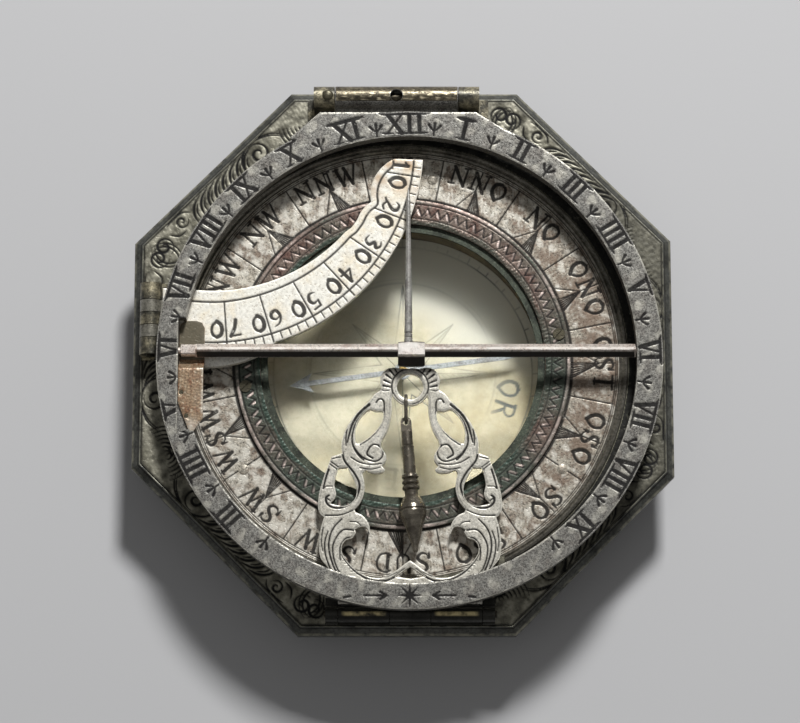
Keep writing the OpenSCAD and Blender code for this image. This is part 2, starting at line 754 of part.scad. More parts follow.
module latitude_arc() {
    color("#cfc9b8") translate([0, 0, arc_axis_z - arc_t / 2]) linear_extrude(arc_t)
        polygon(concat(
            sized(arc_points(arc_c, arc_r, -3.9, -72.3, 24), arc_size),
            curve(concat(
                sized([[-15.4, 0.75], [-18.2, -0.35], [-21.6, -0.8], [-24.3, -0.3]], arc_size),
                [[-arc_root_x, arc_root_y[0] * arc_size]]
            ), 4),
            [[-arc_root_x, arc_root_y[1] * arc_size]],
            sized(concat(
                arc_points(arc_hollow_c, arc_hollow_r, -96, -41, 20),
                curve([[-5.7, 15.0], [-5.1, 15.85], [-4.7, 16.7], [-4.1, 17.5]], 3),
                arc_points(arc_scallop_c, arc_scallop_r, 190.5, 114.5, 12)
            ), arc_size)
        ));
}

// Plummet bracket and its hinge, at the south edge

// West half of the outline: ear, scroll, outer band, angular knee, leaf and foot.
bracket_outline = concat(sized(concat(
    curve([
        [-0.5, -0.9], [-1.1, -0.93], [-1.83, -0.78], [-2.6, -0.98], [-3.1, -1.55],
        [-3.28, -2.3], [-3.1, -3.05]
    ], 2),
    curve([
        [-3.35, -3.4], [-3.95, -3.8], [-4.4, -4.45], [-5.2, -5.2], [-5.95, -5.95],
        [-6.66, -6.95], [-7.2, -8.05], [-7.5, -9.0], [-7.52, -10.0]
    ], 2),
    curve([[-7.45, -10.35], [-8.62, -10.76]], 1),
    curve([
        [-9.3, -12.55], [-9.85, -14.3], [-10.05, -15.6], [-10.03, -16.6], [-9.75, -17.15]
    ], 2),
    curve([
        [-9.4, -17.45], [-9.7, -18.4], [-9.9, -19.6], [-9.94, -20.7], [-9.75, -21.95],
        [-9.0, -22.9], [-8.4, -23.9], [-8.05, -24.5]
    ], 2)), bracket_size), [
    [-bracket_out_x, -25.0 * bracket_size], [-bracket_out_x, -foot_y],
    [-bracket_in_x - 0.3, -foot_y], [-bracket_in_x - 0.3, -25.8 * bracket_size]
]);

// West half of the large opening, from the eye ring down past both curled leaves to the swag.
bracket_opening = concat(
    arc_points([0, eye_y], eye_r_out, 269.5, 204.5, 6), sized(concat(
    curve([
        [-2.05, -4.4], [-2.02, -5.3], [-2.1, -6.2], [-2.3, -7.2], [-2.6, -8.05],
        [-3.1, -8.9], [-3.25, -9.5]
    ], 2),
    curve([[-2.97, -10.0], [-2.62, -10.6], [-2.68, -11.2], [-3.1, -11.75]], 2),
    curve([
        [-2.76, -12.15], [-2.95, -12.45], [-3.65, -12.6], [-4.4, -12.45], [-4.95, -12.2]
    ], 2),
    curve([
        [-5.25, -12.6], [-5.05, -13.3], [-4.98, -14.15], [-5.13, -15.1], [-5.5, -15.9],
        [-6.1, -16.6]
    ], 2),
    curve([
        [-5.9, -16.93], [-5.25, -17.2], [-4.7, -17.8], [-4.42, -18.5], [-4.4, -19.3]
    ], 2),
    curve([[-4.56, -18.9], [-4.85, -18.5], [-5.5, -18.5], [-6.05, -18.8]], 2),
    curve([
        [-5.9, -19.1], [-6.3, -19.7], [-7.0, -19.95], [-7.4, -20.45], [-7.48, -21.1],
        [-7.2, -21.8], [-6.25, -22.95], [-5.25, -23.65], [-4.3, -24.03], [-3.3, -24.1],
        [-2.35, -23.8], [-1.4, -23.2], [-0.5, -22.5], [-0.02, -22.2]
    ], 2)), bracket_size)
);

// Opening between the scroll and the outer band, on the west side.
upper_opening = sized(curve([
    [-4.35, -5.45], [-3.7, -5.72], [-2.98, -5.7], [-2.98, -6.6], [-3.45, -7.5], [-4.35, -8.45],
    [-5.25, -9.08], [-5.85, -9.3], [-6.05, -8.6], [-6.05, -7.85], [-5.8, -6.95],
    [-5.25, -6.1], [-4.75, -5.6]
], 2), bracket_size);

// Opening of the closed lower loop, with the small volute that ends the knee.
loop_opening = sized(concat(
    curve([
        [-6.85, -11.9], [-7.35, -12.0], [-7.83, -12.0], [-8.12, -12.84], [-8.3, -13.8],
        [-8.18, -14.4], [-8.1, -14.9], [-8.3, -15.4], [-8.62, -15.7]
    ], 2),
    curve([
        [-8.7, -15.95], [-8.0, -16.12], [-7.2, -16.18], [-6.4, -15.85], [-5.92, -15.15],
        [-5.84, -14.25], [-6.08, -13.35], [-6.6, -12.4]
    ], 2)
), bracket_size);

// Small three-cornered opening at the bracket's foot.
foot_opening = sized([
    [0, -22.85], [-0.85, -23.4], [-1.6, -23.95], [0, -24.2], [1.6, -23.95], [0.85, -23.4]
], bracket_size);

module bracket_cut(p) {
    translate([0, 0, -bracket_t]) linear_extrude(2 * bracket_t) polygon(p);
}

module plummet_bracket() {
    color("#a9a69e") translate([bracket_cx, 0, bracket_axis_z]) difference() {
        translate([0, 0, -bracket_t / 2]) linear_extrude(bracket_t)
            polygon(both_halves(bracket_outline));
        translate([0, eye_y, -1]) cylinder(r = eye_r_in, h = 2);
        bracket_cut(both_halves(bracket_opening));
        bracket_cut(foot_opening);
        for (s = [0, 1]) mirror([s, 0, 0]) {
            bracket_cut(upper_opening);
            bracket_cut(loop_opening);
        }
    }
}

module bracket_knuckles() {
    color("#7f7c74") translate([bracket_cx, 0, 0]) difference() {
        union() for (s = [-1, 1]) {
            x0 = s > 0 ? bracket_in_x : -bracket_out_x;
            rod_x(bracket_knuckle_r, x0 + knuckle_gap / 2, bracket_knuckle_l - knuckle_gap,
                -bracket_axis_y, bracket_axis_z);
            box_at(x0 + 0.3, x0 + bracket_knuckle_l - 0.3, -bracket_axis_y, -foot_y,
                bracket_axis_z - bracket_t / 2, bracket_axis_z + bracket_t / 2);
        }
        rod_x(bracket_pin_r + pin_gap, -bracket_out_x - 1, 2 * bracket_out_x + 2,
            -bracket_axis_y, bracket_axis_z);
    }
}

module bracket_hinge_block() {
    reach = bracket_out_x + bracket_end_l;
    color("#55544d") translate([bracket_cx, 0, 0]) difference() {
        union() {
            box_at(-reach, reach, rim_w - south_reach, -bracket_axis_y + 1.9,
                plate_top, plate_top + 0.15);
            for (x = [-reach, -bracket_in_x, bracket_out_x]) {
                l = x == -bracket_in_x ? bracket_middle_l : bracket_end_l;
                box_at(x + knuckle_gap / 2, x + l - knuckle_gap / 2, rim_w - south_reach,
                    -bracket_axis_y + 0.5, plate_top, bracket_axis_z);
                rod_x(bracket_knuckle_r, x + knuckle_gap / 2, l - knuckle_gap,
                    -bracket_axis_y, bracket_axis_z);
            }
        }
        rod_x(bracket_pin_r + pin_gap, -reach - 1, 2 * reach + 2,
            -bracket_axis_y, bracket_axis_z);
    }
}

module bracket_hinge_pin() {
    reach = bracket_out_x + bracket_end_l + 0.15;
    color("#8a7b4c") rod_x(bracket_pin_r, bracket_cx - reach, 2 * reach,
        -bracket_axis_y, bracket_axis_z);
}

// Plumb bob on its link

module half_link() {
    rotate_extrude(angle = 180) translate([link_r, 0]) circle(r = link_wire_r, $fn = 24);
}

module plumb_link() {
    color("#5e5a52") translate([link_x, rim_mid_y, bracket_axis_z]) union() {
        rotate([0, 90, 0]) half_link();
        translate([0, -link_l, 0]) rotate([0, 90, 0]) rotate([0, 0, 180]) half_link();
        for (s = [-1, 1]) translate([0, -link_l, s * link_r]) rotate([-90, 0, 0])
            cylinder(r = link_wire_r, h = link_l, $fn = 24);
    }
}

// Turned outline of the bob, as [radius, distance below its eye].
module plumb_bob() {
    r = bob_r;
    k = bob_l / 14.6;
    turned = [
        [0, 1.0], [bob_stem_r * 0.9, 1.0], [bob_stem_r, 1.15], [bob_stem_r, 2.5],
        [bob_stem_r * 0.9, 2.6], [bob_stem_r * 1.1, 2.72], [bob_stem_r * 1.06, 2.95],
        [bob_stem_r * 1.1, 5.4], [bob_stem_r * 1.05, 5.75], [r * 0.58, 5.95], [r * 0.6, 6.2],
        [r * 0.47, 6.42], [r * 0.6, 6.65], [r * 0.6, 6.85], [r * 0.47, 7.05], [r * 0.61, 7.3],
        [r * 0.61, 7.5], [r * 0.48, 7.7], [r * 0.47, 8.2], [r * 0.72, 8.75], [r * 0.95, 9.4],
        [r, 9.75], [r * 0.93, 9.85], [r * 0.97, 9.95], [r, 10.1], [r * 0.93, 10.6],
        [r * 0.77, 11.1], [r * 0.58, 12.0], [r * 0.42, 13.0], [r * 0.26, 13.65],
        [r * 0.21, 13.9], [r * 0.19, 14.4], [r * 0.1, 14.6], [0, 14.6]
    ];
    color("#474440") translate([link_x, bob_eye_y, bracket_axis_z]) rotate([0, 0, bob_lean])
        rotate([-bob_rise, 0, 0]) union() {
            difference() {
                intersection() {
                    translate([-tab_r, -1.1, -0.28]) cube([2 * tab_r, 1.1 + tab_r, 0.56]);
                    round_tab();
                }
                translate([0, 0, -1]) cylinder(r = link_wire_r + 0.14, h = 2, $fn = 32);
            }
            rotate([90, 0, 0]) rotate_extrude() polygon([for (q = turned) [q.x, k * q.y]]);
        }
}

module round_tab() {
    translate([0, 0, -1]) cylinder(r = tab_r, h = 2, $fn = 48);
    translate([-tab_r, -1.1, -1]) cube([2 * tab_r, 1.1, 2]);
}

base_plate();
rim_moulding();
compass_box();
box_screws();
bottom_cover();
cover_screws();
compass_card();
needle_pivot();
compass_needle();
needle_cap();
compass_glass();
glass_seat_ring();
zigzag_bezel();
bezel_screws();
direction_ring();
direction_ring_rivets();
circle_moulding();
ring_hinge_block();
ring_hinge_pin();
ring_hinge_rivet();
hour_ring();
gnomon_bar();
gnomon_stylus();
detent_spring();
spring_rivets();
arc_hinge_block();
arc_hinge_pin();
latitude_arc();
arc_knuckles();
bracket_hinge_block();
bracket_hinge_pin();
plummet_bracket();
bracket_knuckles();
plumb_link();
plumb_bob();
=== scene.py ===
import math

import bpy
import numpy as np
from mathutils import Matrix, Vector


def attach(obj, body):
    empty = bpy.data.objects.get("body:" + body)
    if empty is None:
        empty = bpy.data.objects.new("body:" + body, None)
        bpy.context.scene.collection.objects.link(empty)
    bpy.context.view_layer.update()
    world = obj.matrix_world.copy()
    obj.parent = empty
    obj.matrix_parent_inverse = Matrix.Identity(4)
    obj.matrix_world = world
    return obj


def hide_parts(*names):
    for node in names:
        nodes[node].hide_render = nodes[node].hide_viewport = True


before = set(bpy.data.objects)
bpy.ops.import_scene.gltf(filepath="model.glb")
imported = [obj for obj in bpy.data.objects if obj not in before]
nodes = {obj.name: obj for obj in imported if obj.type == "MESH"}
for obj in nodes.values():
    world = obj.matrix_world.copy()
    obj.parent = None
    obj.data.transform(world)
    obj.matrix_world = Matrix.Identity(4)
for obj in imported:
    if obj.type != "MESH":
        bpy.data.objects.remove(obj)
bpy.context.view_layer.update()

# A folding compass sundial, seen from above as it lies folded. Pieces are worked out in millimetres and
# turned to metres when a mesh is made. The studio is in metres, and the scales of the finishes are per metre.

mm = 0.001

# Camera.

cameraView = {
    "elevation": 79.0,      # degrees above the horizon, looking north
    "distance": 332.6,      # from the point looked at, on the compass axis
    "aimHeight": 8.8,
    "lens": 135.0,
    "sensor": 36.0,
    "shift": (-0.0035, 0.00225),
    "clip": (0.01, 10.0),   # metres
}


def addCamera(view):
    # stands at (0, -distance x cosine, aim height + distance x sine) of the elevation, tipped down by it
    tilt = math.radians(view["elevation"])
    data = bpy.data.cameras.new("camera")
    data.lens, data.sensor_width = view["lens"], view["sensor"]
    data.shift_x, data.shift_y = view["shift"]
    data.clip_start, data.clip_end = view["clip"]
    camera = bpy.data.objects.new("camera", data)
    reach = view["distance"] * mm
    camera.location = (0, -reach * math.cos(tilt), view["aimHeight"] * mm + reach * math.sin(tilt))
    camera.rotation_euler = (math.pi / 2 - tilt, 0, 0)
    bpy.context.scene.collection.objects.link(camera)
    bpy.context.scene.camera = camera


addCamera(cameraView)
print("camera set")

# Meshes from arrays.


def gridQuads(columns, rows, closeColumns=False, closeRows=False):
    # four corners of every cell of a grid, in the order that makes (row step) x (column step) the normal
    u = np.arange(columns if closeColumns else columns - 1)
    v = np.arange(rows if closeRows else rows - 1)
    u, v = [a.ravel() for a in np.meshgrid(u, v, indexing="ij")]
    u1, v1 = (u + 1) % columns, (v + 1) % rows
    return np.stack([u * rows + v, u * rows + v1, u1 * rows + v1, u1 * rows + v], axis=1)


def makePiece(name, points, faces, layers, sharp=40.0):
    # one object at the origin: points in millimetres x mm, faces as rows of four, layers as values per point,
    # and crisp edges where the faces turn by more than `sharp` degrees
    mesh = bpy.data.meshes.new(name)
    mesh.vertices.add(len(points))
    mesh.vertices.foreach_set("co", (points * mm).astype(np.float32).ravel())
    mesh.loops.add(faces.size)
    mesh.loops.foreach_set("vertex_index", faces.astype(np.int32).ravel())
    mesh.polygons.add(len(faces))
    mesh.polygons.foreach_set("loop_start", np.arange(0, faces.size, 4, dtype=np.int32))
    mesh.polygons.foreach_set("use_smooth", np.ones(len(faces), dtype=bool))
    mesh.update(calc_edges=True)
    for key, values in layers.items():
        mesh.attributes.new(key, "FLOAT", "POINT").data.foreach_set("value", values.astype(np.float32))
    mesh.set_sharp_from_angle(angle=math.radians(sharp))
    piece = bpy.data.objects.new(name, mesh)
    bpy.context.scene.collection.objects.link(piece)
    return piece


def smoothNoise(x, y, size, seed):
    # soft patches about `size` across: the mean of six slow sine waves, each with a direction, a phase and a
    # length of its own that come from the seed
    waves = np.random.default_rng(seed).uniform([0, 0, 0.6], [2 * np.pi, 2 * np.pi, 1.7], (6, 3))
    total = np.zeros_like(x)
    for angle, phase, stretch in waves:
        total += np.sin((x * np.cos(angle) + y * np.sin(angle)) * 2 * np.pi / (size * stretch) + phase)
    return total / len(waves)


def atEnds(values):
    # true at the least and the greatest of the values
    return (values == values.min()) | (values == values.max())


def carryAlong(along, y, z):
    # a section carried along x: the points (along, y, z), station after station
    return np.dstack([along + 0 * y, y, z]).reshape(-1, 3)


def subdivide(corners, share):
    # a closed line with more points on every side: corner + share x (next corner - corner)
    sides = np.roll(corners, -1, axis=0) - corners
    return (corners[:, None] + sides[:, None] * share[None, :, None]).reshape(-1, 2)


# Graver strokes: arrays of x, y and half width.


def cut(points, width, taper=1.0):
    # one stroke through the points, its half width going from width to width * taper
    points = np.asarray(points, dtype=float)
    halves = np.linspace(width, width * taper, len(points))[:, None]
    return np.hstack([points[:, :2], halves])


def swell(points, width):
    # a stroke that is thin at both ends: half width = width x (a quarter + three quarters of a half sine)
    points = np.asarray(points, dtype=float)
    t = np.linspace(0, 1, len(points))
    return np.hstack([points[:, :2], (width * (0.25 + 0.75 * np.sin(np.pi * t)))[:, None]])


def through(knots, steps=6):
    # smooth curve through the knots: the usual four point blend, worked out for all steps at once
    p = np.asarray(knots, dtype=float)
    a, b, c, d = p[[0] + list(range(len(p) - 2))], p[:-1], p[1:], p[list(range(2, len(p))) + [-1]]
    t = np.linspace(0, 1, steps, endpoint=False)[None, :, None]
    a, b, c, d = [q[:, None, :] for q in (a, b, c, d)]
    q = (2 * b + (c - a) * t + (2 * a - 5 * b + 4 * c - d) * t**2 + (3 * b - a - 3 * c + d) * t**3) / 2
    return np.vstack([q.reshape(-1, p.shape[1]), p[-1:]])


def oval(cx, cy, rx, ry, start, end, steps=14):
    # centre + (x radius x cosine, y radius x sine) from one angle to another
    t = np.radians(np.linspace(start, end, steps))
    return np.stack([cx + rx * np.cos(t), cy + ry * np.sin(t)], axis=1)


def spiral(cx, cy, start, radius, turns, steps=40, tail=0.15):
    # the radius shrinks evenly from full to the tail's share while the angle runs through the turns
    t = np.linspace(0, 1, steps)
    angle = np.radians(start) + t * turns * 2 * np.pi
    r = radius * (1 - (1 - tail) * t)
    return np.stack([cx + r * np.cos(angle), cy + r * np.sin(angle)], axis=1)


def polarPoint(radius, degrees, centre=(0.0, 0.0)):
    # centre + radius x (cosine, sine)
    t = math.radians(degrees)
    return (centre[0] + radius * math.cos(t), centre[1] + radius * math.sin(t))


def ringLine(radius, width, steps=181):
    # a stroke all the way round the compass axis
    return cut(oval(0, 0, radius, radius, 0, 360, steps), width)


def rayLine(degrees, start, end, width, taper=1.0, centre=(0.0, 0.0)):
    # a stroke along a radius of the centre, from one distance to another
    return cut([polarPoint(start, degrees, centre), polarPoint(end, degrees, centre)], width, taper)


def scaled(strokes, across=1.0, width=1.0):
    # the strokes with their x multiplied by one number and their half widths by another
    return [stroke * np.array([across, 1, width]) for stroke in strokes]


def standOn(strokes, radius, degrees, size, centre=(0.0, 0.0)):
    # unit strokes moved to a circle with their tops outwards: its point + size x (x along it + y outwards)
    t = math.radians(degrees)
    up = np.array([math.cos(t), math.sin(t)])
    right = np.array([up[1], -up[0]])
    foot = np.array(polarPoint(radius, degrees, centre))
    return [np.hstack([foot + (s[:, :1] * right + s[:, 1:2] * up) * size, s[:, 2:] * size]) for s in strokes]


def engrave(x, y, strokes, soft):
    # depth of the cut at each point: 0.5 - (distance to the stroke - its half width) / soft, within 0..1
    depth = np.zeros_like(x)
    for stroke in strokes:
        for a, b in zip(stroke[:-1], stroke[1:]):
            reach = max(a[2], b[2]) + soft
            near = np.nonzero(
                (x > min(a[0], b[0]) - reach) & (x < max(a[0], b[0]) + reach)
                & (y > min(a[1], b[1]) - reach) & (y < max(a[1], b[1]) + reach))[0]
            if near.size == 0:
                continue
            dx, dy = b[0] - a[0], b[1] - a[1]
            px, py = x[near] - a[0], y[near] - a[1]
            t = np.clip((px * dx + py * dy) / (dx * dx + dy * dy + 1e-9), 0, 1)
            gap = np.hypot(px - t * dx, py - t * dy) - (a[2] + (b[2] - a[2]) * t)
            depth[near] = np.maximum(depth[near], np.clip(0.5 - gap / soft, 0, 1))
    return depth


# Letters and figures one unit tall, centred on zero, drawn as an engraver's thick and thin strokes.
thick, thin = 0.072, 0.045
letters = {
    "W": [cut([(-0.55, 0.5), (-0.3, -0.5)], thick), cut([(-0.3, -0.5), (-0.02, 0.42)], thin),
          cut([(-0.08, 0.5), (0.2, -0.5)], thick), cut([(0.2, -0.5), (0.52, 0.55)], thin),
          cut([(-0.68, 0.48), (-0.42, 0.5)], thin)],
    "N": [cut([(-0.36, -0.5), (-0.34, 0.5)], thin), cut([(-0.36, 0.5), (0.34, -0.5)], thick),
          cut([(0.34, -0.5), (0.38, 0.55)], thin), cut([(-0.5, -0.5), (-0.2, -0.48)], thin),
          cut([(0.22, 0.52), (0.5, 0.56)], thin)],
    "O": [cut(through([(0, -0.54), (-0.27, -0.26), (-0.36, 0.04), (-0.27, 0.34), (0, 0.46)]), thick * 1.1),
          cut(through([(0, 0.46), (0.27, 0.34), (0.36, 0.04), (0.27, -0.26), (0, -0.54)]), thick * 0.8)],
    "S": [swell(through([(0.28, 0.32), (0.2, 0.47), (-0.02, 0.5), (-0.22, 0.36), (-0.16, 0.12),
                         (0.12, -0.08), (0.24, -0.28), (0.06, -0.48), (-0.2, -0.46), (-0.34, -0.28)]), thick),
          cut([(0.3, 0.28), (0.36, 0.56)], thick, 0.3), cut([(-0.36, -0.24), (-0.4, -0.52)], thick, 0.3)],
    "D": [cut([(-0.22, 0.5), (-0.22, -0.46)], thick),
          cut(through([(-0.4, 0.42), (-0.1, 0.52), (0.26, 0.36), (0.36, 0.0), (0.22, -0.38), (-0.1, -0.5),
                       (-0.36, -0.42)]), thin)],
    "U": [cut([(-0.32, 0.5), (-0.32, -0.12)], thick), cut(oval(0, -0.16, 0.32, 0.32, 180, 360), thin),
          cut([(0.32, -0.12), (0.32, 0.5)], thin)],
    "E": [cut([(-0.24, 0.5), (-0.24, -0.5)], thick), cut([(-0.34, 0.48), (0.3, 0.48)], thin),
          cut([(-0.24, 0.02), (0.16, 0.02)], thin), cut([(-0.34, -0.48), (0.32, -0.46)], thin)],
    "R": [cut([(-0.26, 0.5), (-0.26, -0.5)], thick), cut([(-0.02, 0.0), (0.34, -0.5)], thick),
          cut(through([(-0.38, 0.48), (0.1, 0.5), (0.26, 0.26), (0.06, 0.02), (-0.24, 0.0)]), thin)],
    "M": [cut([(-0.4, -0.5), (-0.34, 0.5)], thin), cut([(-0.34, 0.5), (0, -0.3)], thick),
          cut([(0, -0.3), (0.36, 0.5)], thin), cut([(0.36, 0.5), (0.42, -0.5)], thick)],
    "T": [cut([(0, 0.5), (0, -0.5)], thick), cut([(-0.38, 0.48), (0.4, 0.5)], thin),
          cut([(-0.16, -0.5), (0.16, -0.5)], thin)],
}
figures = {
    "0": [cut(through([(0.0, -0.5), (-0.24, -0.28), (-0.31, 0.04), (-0.22, 0.34), (0.0, 0.46)]), thick * 1.1),
          cut(through([(0.0, 0.46), (0.22, 0.34), (0.31, 0.04), (0.24, -0.28), (0.0, -0.5)]), thick * 0.8)],
    "1": [cut([(0, 0.48), (0, -0.46)], thick), cut([(-0.2, 0.3), (0, 0.48)], thin),
          cut([(-0.2, -0.48), (0.22, -0.48)], thin)],
    "2": [swell(through([(-0.26, 0.26), (-0.1, 0.47), (0.2, 0.4), (0.22, 0.14), (-0.06, -0.2),
                         (-0.32, -0.46)]), thick),
          cut(through([(-0.32, -0.46), (-0.1, -0.36), (0.14, -0.48), (0.36, -0.36)]), thin)],
    "3": [swell(through([(-0.26, 0.4), (0.0, 0.5), (0.22, 0.32), (-0.02, 0.08), (0.26, -0.14),
                         (0.1, -0.46), (-0.24, -0.42)]), thick)],
    "4": [cut([(0.1, 0.5), (0.12, -0.5)], thick), cut([(0.1, 0.5), (-0.34, -0.14), (0.34, -0.16)], thin)],
    "5": [cut([(0.26, 0.5), (-0.18, 0.46), (-0.2, 0.1)], thin),
          swell(through([(-0.2, 0.1), (0.12, 0.14), (0.26, -0.14), (0.08, -0.46), (-0.26, -0.4)]), thick)],
    "6": [swell(through([(0.24, 0.46), (-0.12, 0.3), (-0.28, -0.08), (-0.14, -0.44), (0.16, -0.42),
                         (0.24, -0.14), (0.02, 0.04), (-0.24, -0.1)]), thick)],
    "7": [cut([(-0.3, 0.42), (0.3, 0.46)], thin),
          cut(through([(0.3, 0.46), (0.02, -0.04), (-0.08, -0.5)]), thick)],
}

# Finishes.


def linear(red, green, blue):
    # screen colour 0..255 to the linear value that the shader reads
    c = np.array([red, green, blue]) / 255
    return (*np.where(c <= 0.04045, c / 12.92, ((c + 0.055) / 1.055) ** 2.4), 1.0)


def feed(tree, socket, value):
    # a number or a colour is set on the socket, and another node's output is linked to it
    if isinstance(value, (int, float, tuple)):
        socket.default_value = value
    else:
        tree.links.new(value, socket)


def addNode(tree, kind, sockets=None, **settings):
    # a new node with its settings, then its input sockets fed by name or by number
    item = tree.nodes.new(kind)
    for key, value in settings.items():
        setattr(item, key, value)
    for key, value in (sockets or {}).items():
        feed(tree, item.inputs[key], value)
    return item


def mathNode(tree, operation, a, b, clamp=False):
    # a and b under the operation, held within 0..1 where clamp is set
    return addNode(tree, "ShaderNodeMath", {0: a, 1: b}, operation=operation, use_clamp=clamp).outputs[0]


def mixColor(tree, mask, a, b):
    # a x (1 - mask) + b x mask
    return addNode(tree, "ShaderNodeMix", {0: mask, 6: a, 7: b}, data_type="RGBA").outputs[2]


def ramp(tree, value, low, high):
    # 0 below low, 1 above high, and a soft S in between
    sockets = {0: value, 1: low, 2: high}
    return addNode(tree, "ShaderNodeMapRange", sockets, interpolation_type="SMOOTHSTEP").outputs[0]


def noiseNode(tree, vector, scale, detail, roughness):
    # cloudy noise at vector x scale
    sockets = {"Vector": vector, "Scale": scale, "Detail": detail, "Roughness": roughness}
    return addNode(tree, "ShaderNodeTexNoise", sockets).outputs["Fac"]


def readLayer(tree, name):
    # the values of a piece's own layer, or 0 on a piece that has none
    return addNode(tree, "ShaderNodeAttribute", attribute_type="GEOMETRY", attribute_name=name).outputs["Fac"]


def startGroup(name, inputs, outputs):
    # a node group whose sockets are given as {name: kind}, with the group's own ends
    tree = bpy.data.node_groups.new(name, "ShaderNodeTree")
    for side, sockets in (("INPUT", inputs), ("OUTPUT", outputs)):
        for label, kind in sockets.items():
            tree.interface.new_socket(label, in_out=side, socket_type="NodeSocket" + kind)
    return tree, tree.nodes.new("NodeGroupInput").outputs, tree.nodes.new("NodeGroupOutput").inputs


def buildTarnish():
    # metal mixed with stain in broad patches, x (1 + a fine mottle), mixed with pits in the finest noise;
    # the height is 0.4 x the mottle's noise - the pits
    tree, given, out = startGroup("tarnish", {
        "Vector": "Vector", "Metal": "Color", "Stain": "Color", "Pit": "Color", "Stain Scale": "Float",
        "Stain Amount": "Float", "Pit Scale": "Float", "Pit Amount": "Float", "Mottle": "Float",
    }, {"Color": "Color", "Mask": "Float", "Height": "Float"})
    where, scale = given["Vector"], given["Stain Scale"]
    broad = noiseNode(tree, where, scale, 6.0, 0.62)
    fine = noiseNode(tree, where, mathNode(tree, "MULTIPLY", scale, 7.0), 4.0, 0.7)
    finest = noiseNode(tree, where, given["Pit Scale"], 2.0, 0.5)
    stain = mathNode(tree, "MULTIPLY", ramp(tree, broad, 0.42, 0.68), given["Stain Amount"], True)
    pitted = mathNode(tree, "MULTIPLY", ramp(tree, finest, 0.56, 0.7), given["Pit Amount"], True)
    swing = mathNode(tree, "SUBTRACT", ramp(tree, fine, 0.3, 0.7), 0.5)
    shade = mathNode(tree, "ADD", mathNode(tree, "MULTIPLY", swing, given["Mottle"]), 1.0)
    color = mixColor(tree, stain, given["Metal"], given["Stain"])
    shaded = addNode(tree, "ShaderNodeVectorMath", operation="SCALE")
    feed(tree, shaded.inputs[0], color)
    feed(tree, shaded.inputs["Scale"], shade)
    feed(tree, out["Color"], mixColor(tree, pitted, shaded.outputs[0], given["Pit"]))
    feed(tree, out["Mask"], stain)
    feed(tree, out["Height"], mathNode(tree, "SUBTRACT", mathNode(tree, "MULTIPLY", fine, 0.4), pitted))
    return tree


def buildWear():
    # the colour mixed with bright metal by the edge layer x noise x amount, where the edge layer is edge wear
    # on some pieces and a painted highlight on others; then with wax by the engraved layer x noise, which on
    # some pieces also carries painted shade
    tree, given, out = startGroup("gravedWornAndHighlit", {
        "Color": "Color", "Bright": "Color", "Wax": "Color", "Engraved And Shade": "Float", "Edge Wear And Highlight": "Float",
        "Wear And Highlight Amount": "Float", "Wax Amount": "Float", "Vector": "Vector",
    }, {"Color": "Color", "Mask": "Float"})
    patchy = ramp(tree, noiseNode(tree, given["Vector"], 900.0, 3.0, 0.6), 0.3, 0.62)
    filled = ramp(tree, noiseNode(tree, given["Vector"], 1400.0, 3.0, 0.7), 0.24, 0.42)
    kept = mathNode(tree, "ADD", mathNode(tree, "MULTIPLY", filled, 0.45), 0.55)
    edge = mathNode(tree, "MULTIPLY", given["Edge Wear And Highlight"], patchy)
    worn = mathNode(tree, "MULTIPLY", edge, given["Wear And Highlight Amount"], True)
    groovesAndShade = mathNode(tree, "MULTIPLY", given["Engraved And Shade"], kept)
    wax = mathNode(tree, "MULTIPLY", groovesAndShade, given["Wax Amount"], True)
    bright = mixColor(tree, worn, given["Color"], given["Bright"])
    feed(tree, out["Color"], mixColor(tree, wax, bright, given["Wax"]))
    feed(tree, out["Mask"], wax)
    return tree


tarnishGroup, wearAndHighlightGroup = buildTarnish(), buildWear()

# what a finish has unless its own line says otherwise
# bright and wear also make the painted highlights that some pieces mark, and wax also makes painted shade
plainFinish = {
    "stainScale": 320.0, "stainAmount": 0.6, "pit": (30, 28, 26), "pitScale": 4200.0, "pitAmount": 0.4,
    "mottle": 0.5, "bright": (225, 222, 210), "wear": 0.6, "wax": (22, 20, 18), "waxAmount": 0.95,
    "roughness": 0.42, "metallic": 0.55, "bump": 0.5, "bumpDepth": 0.00004,
}


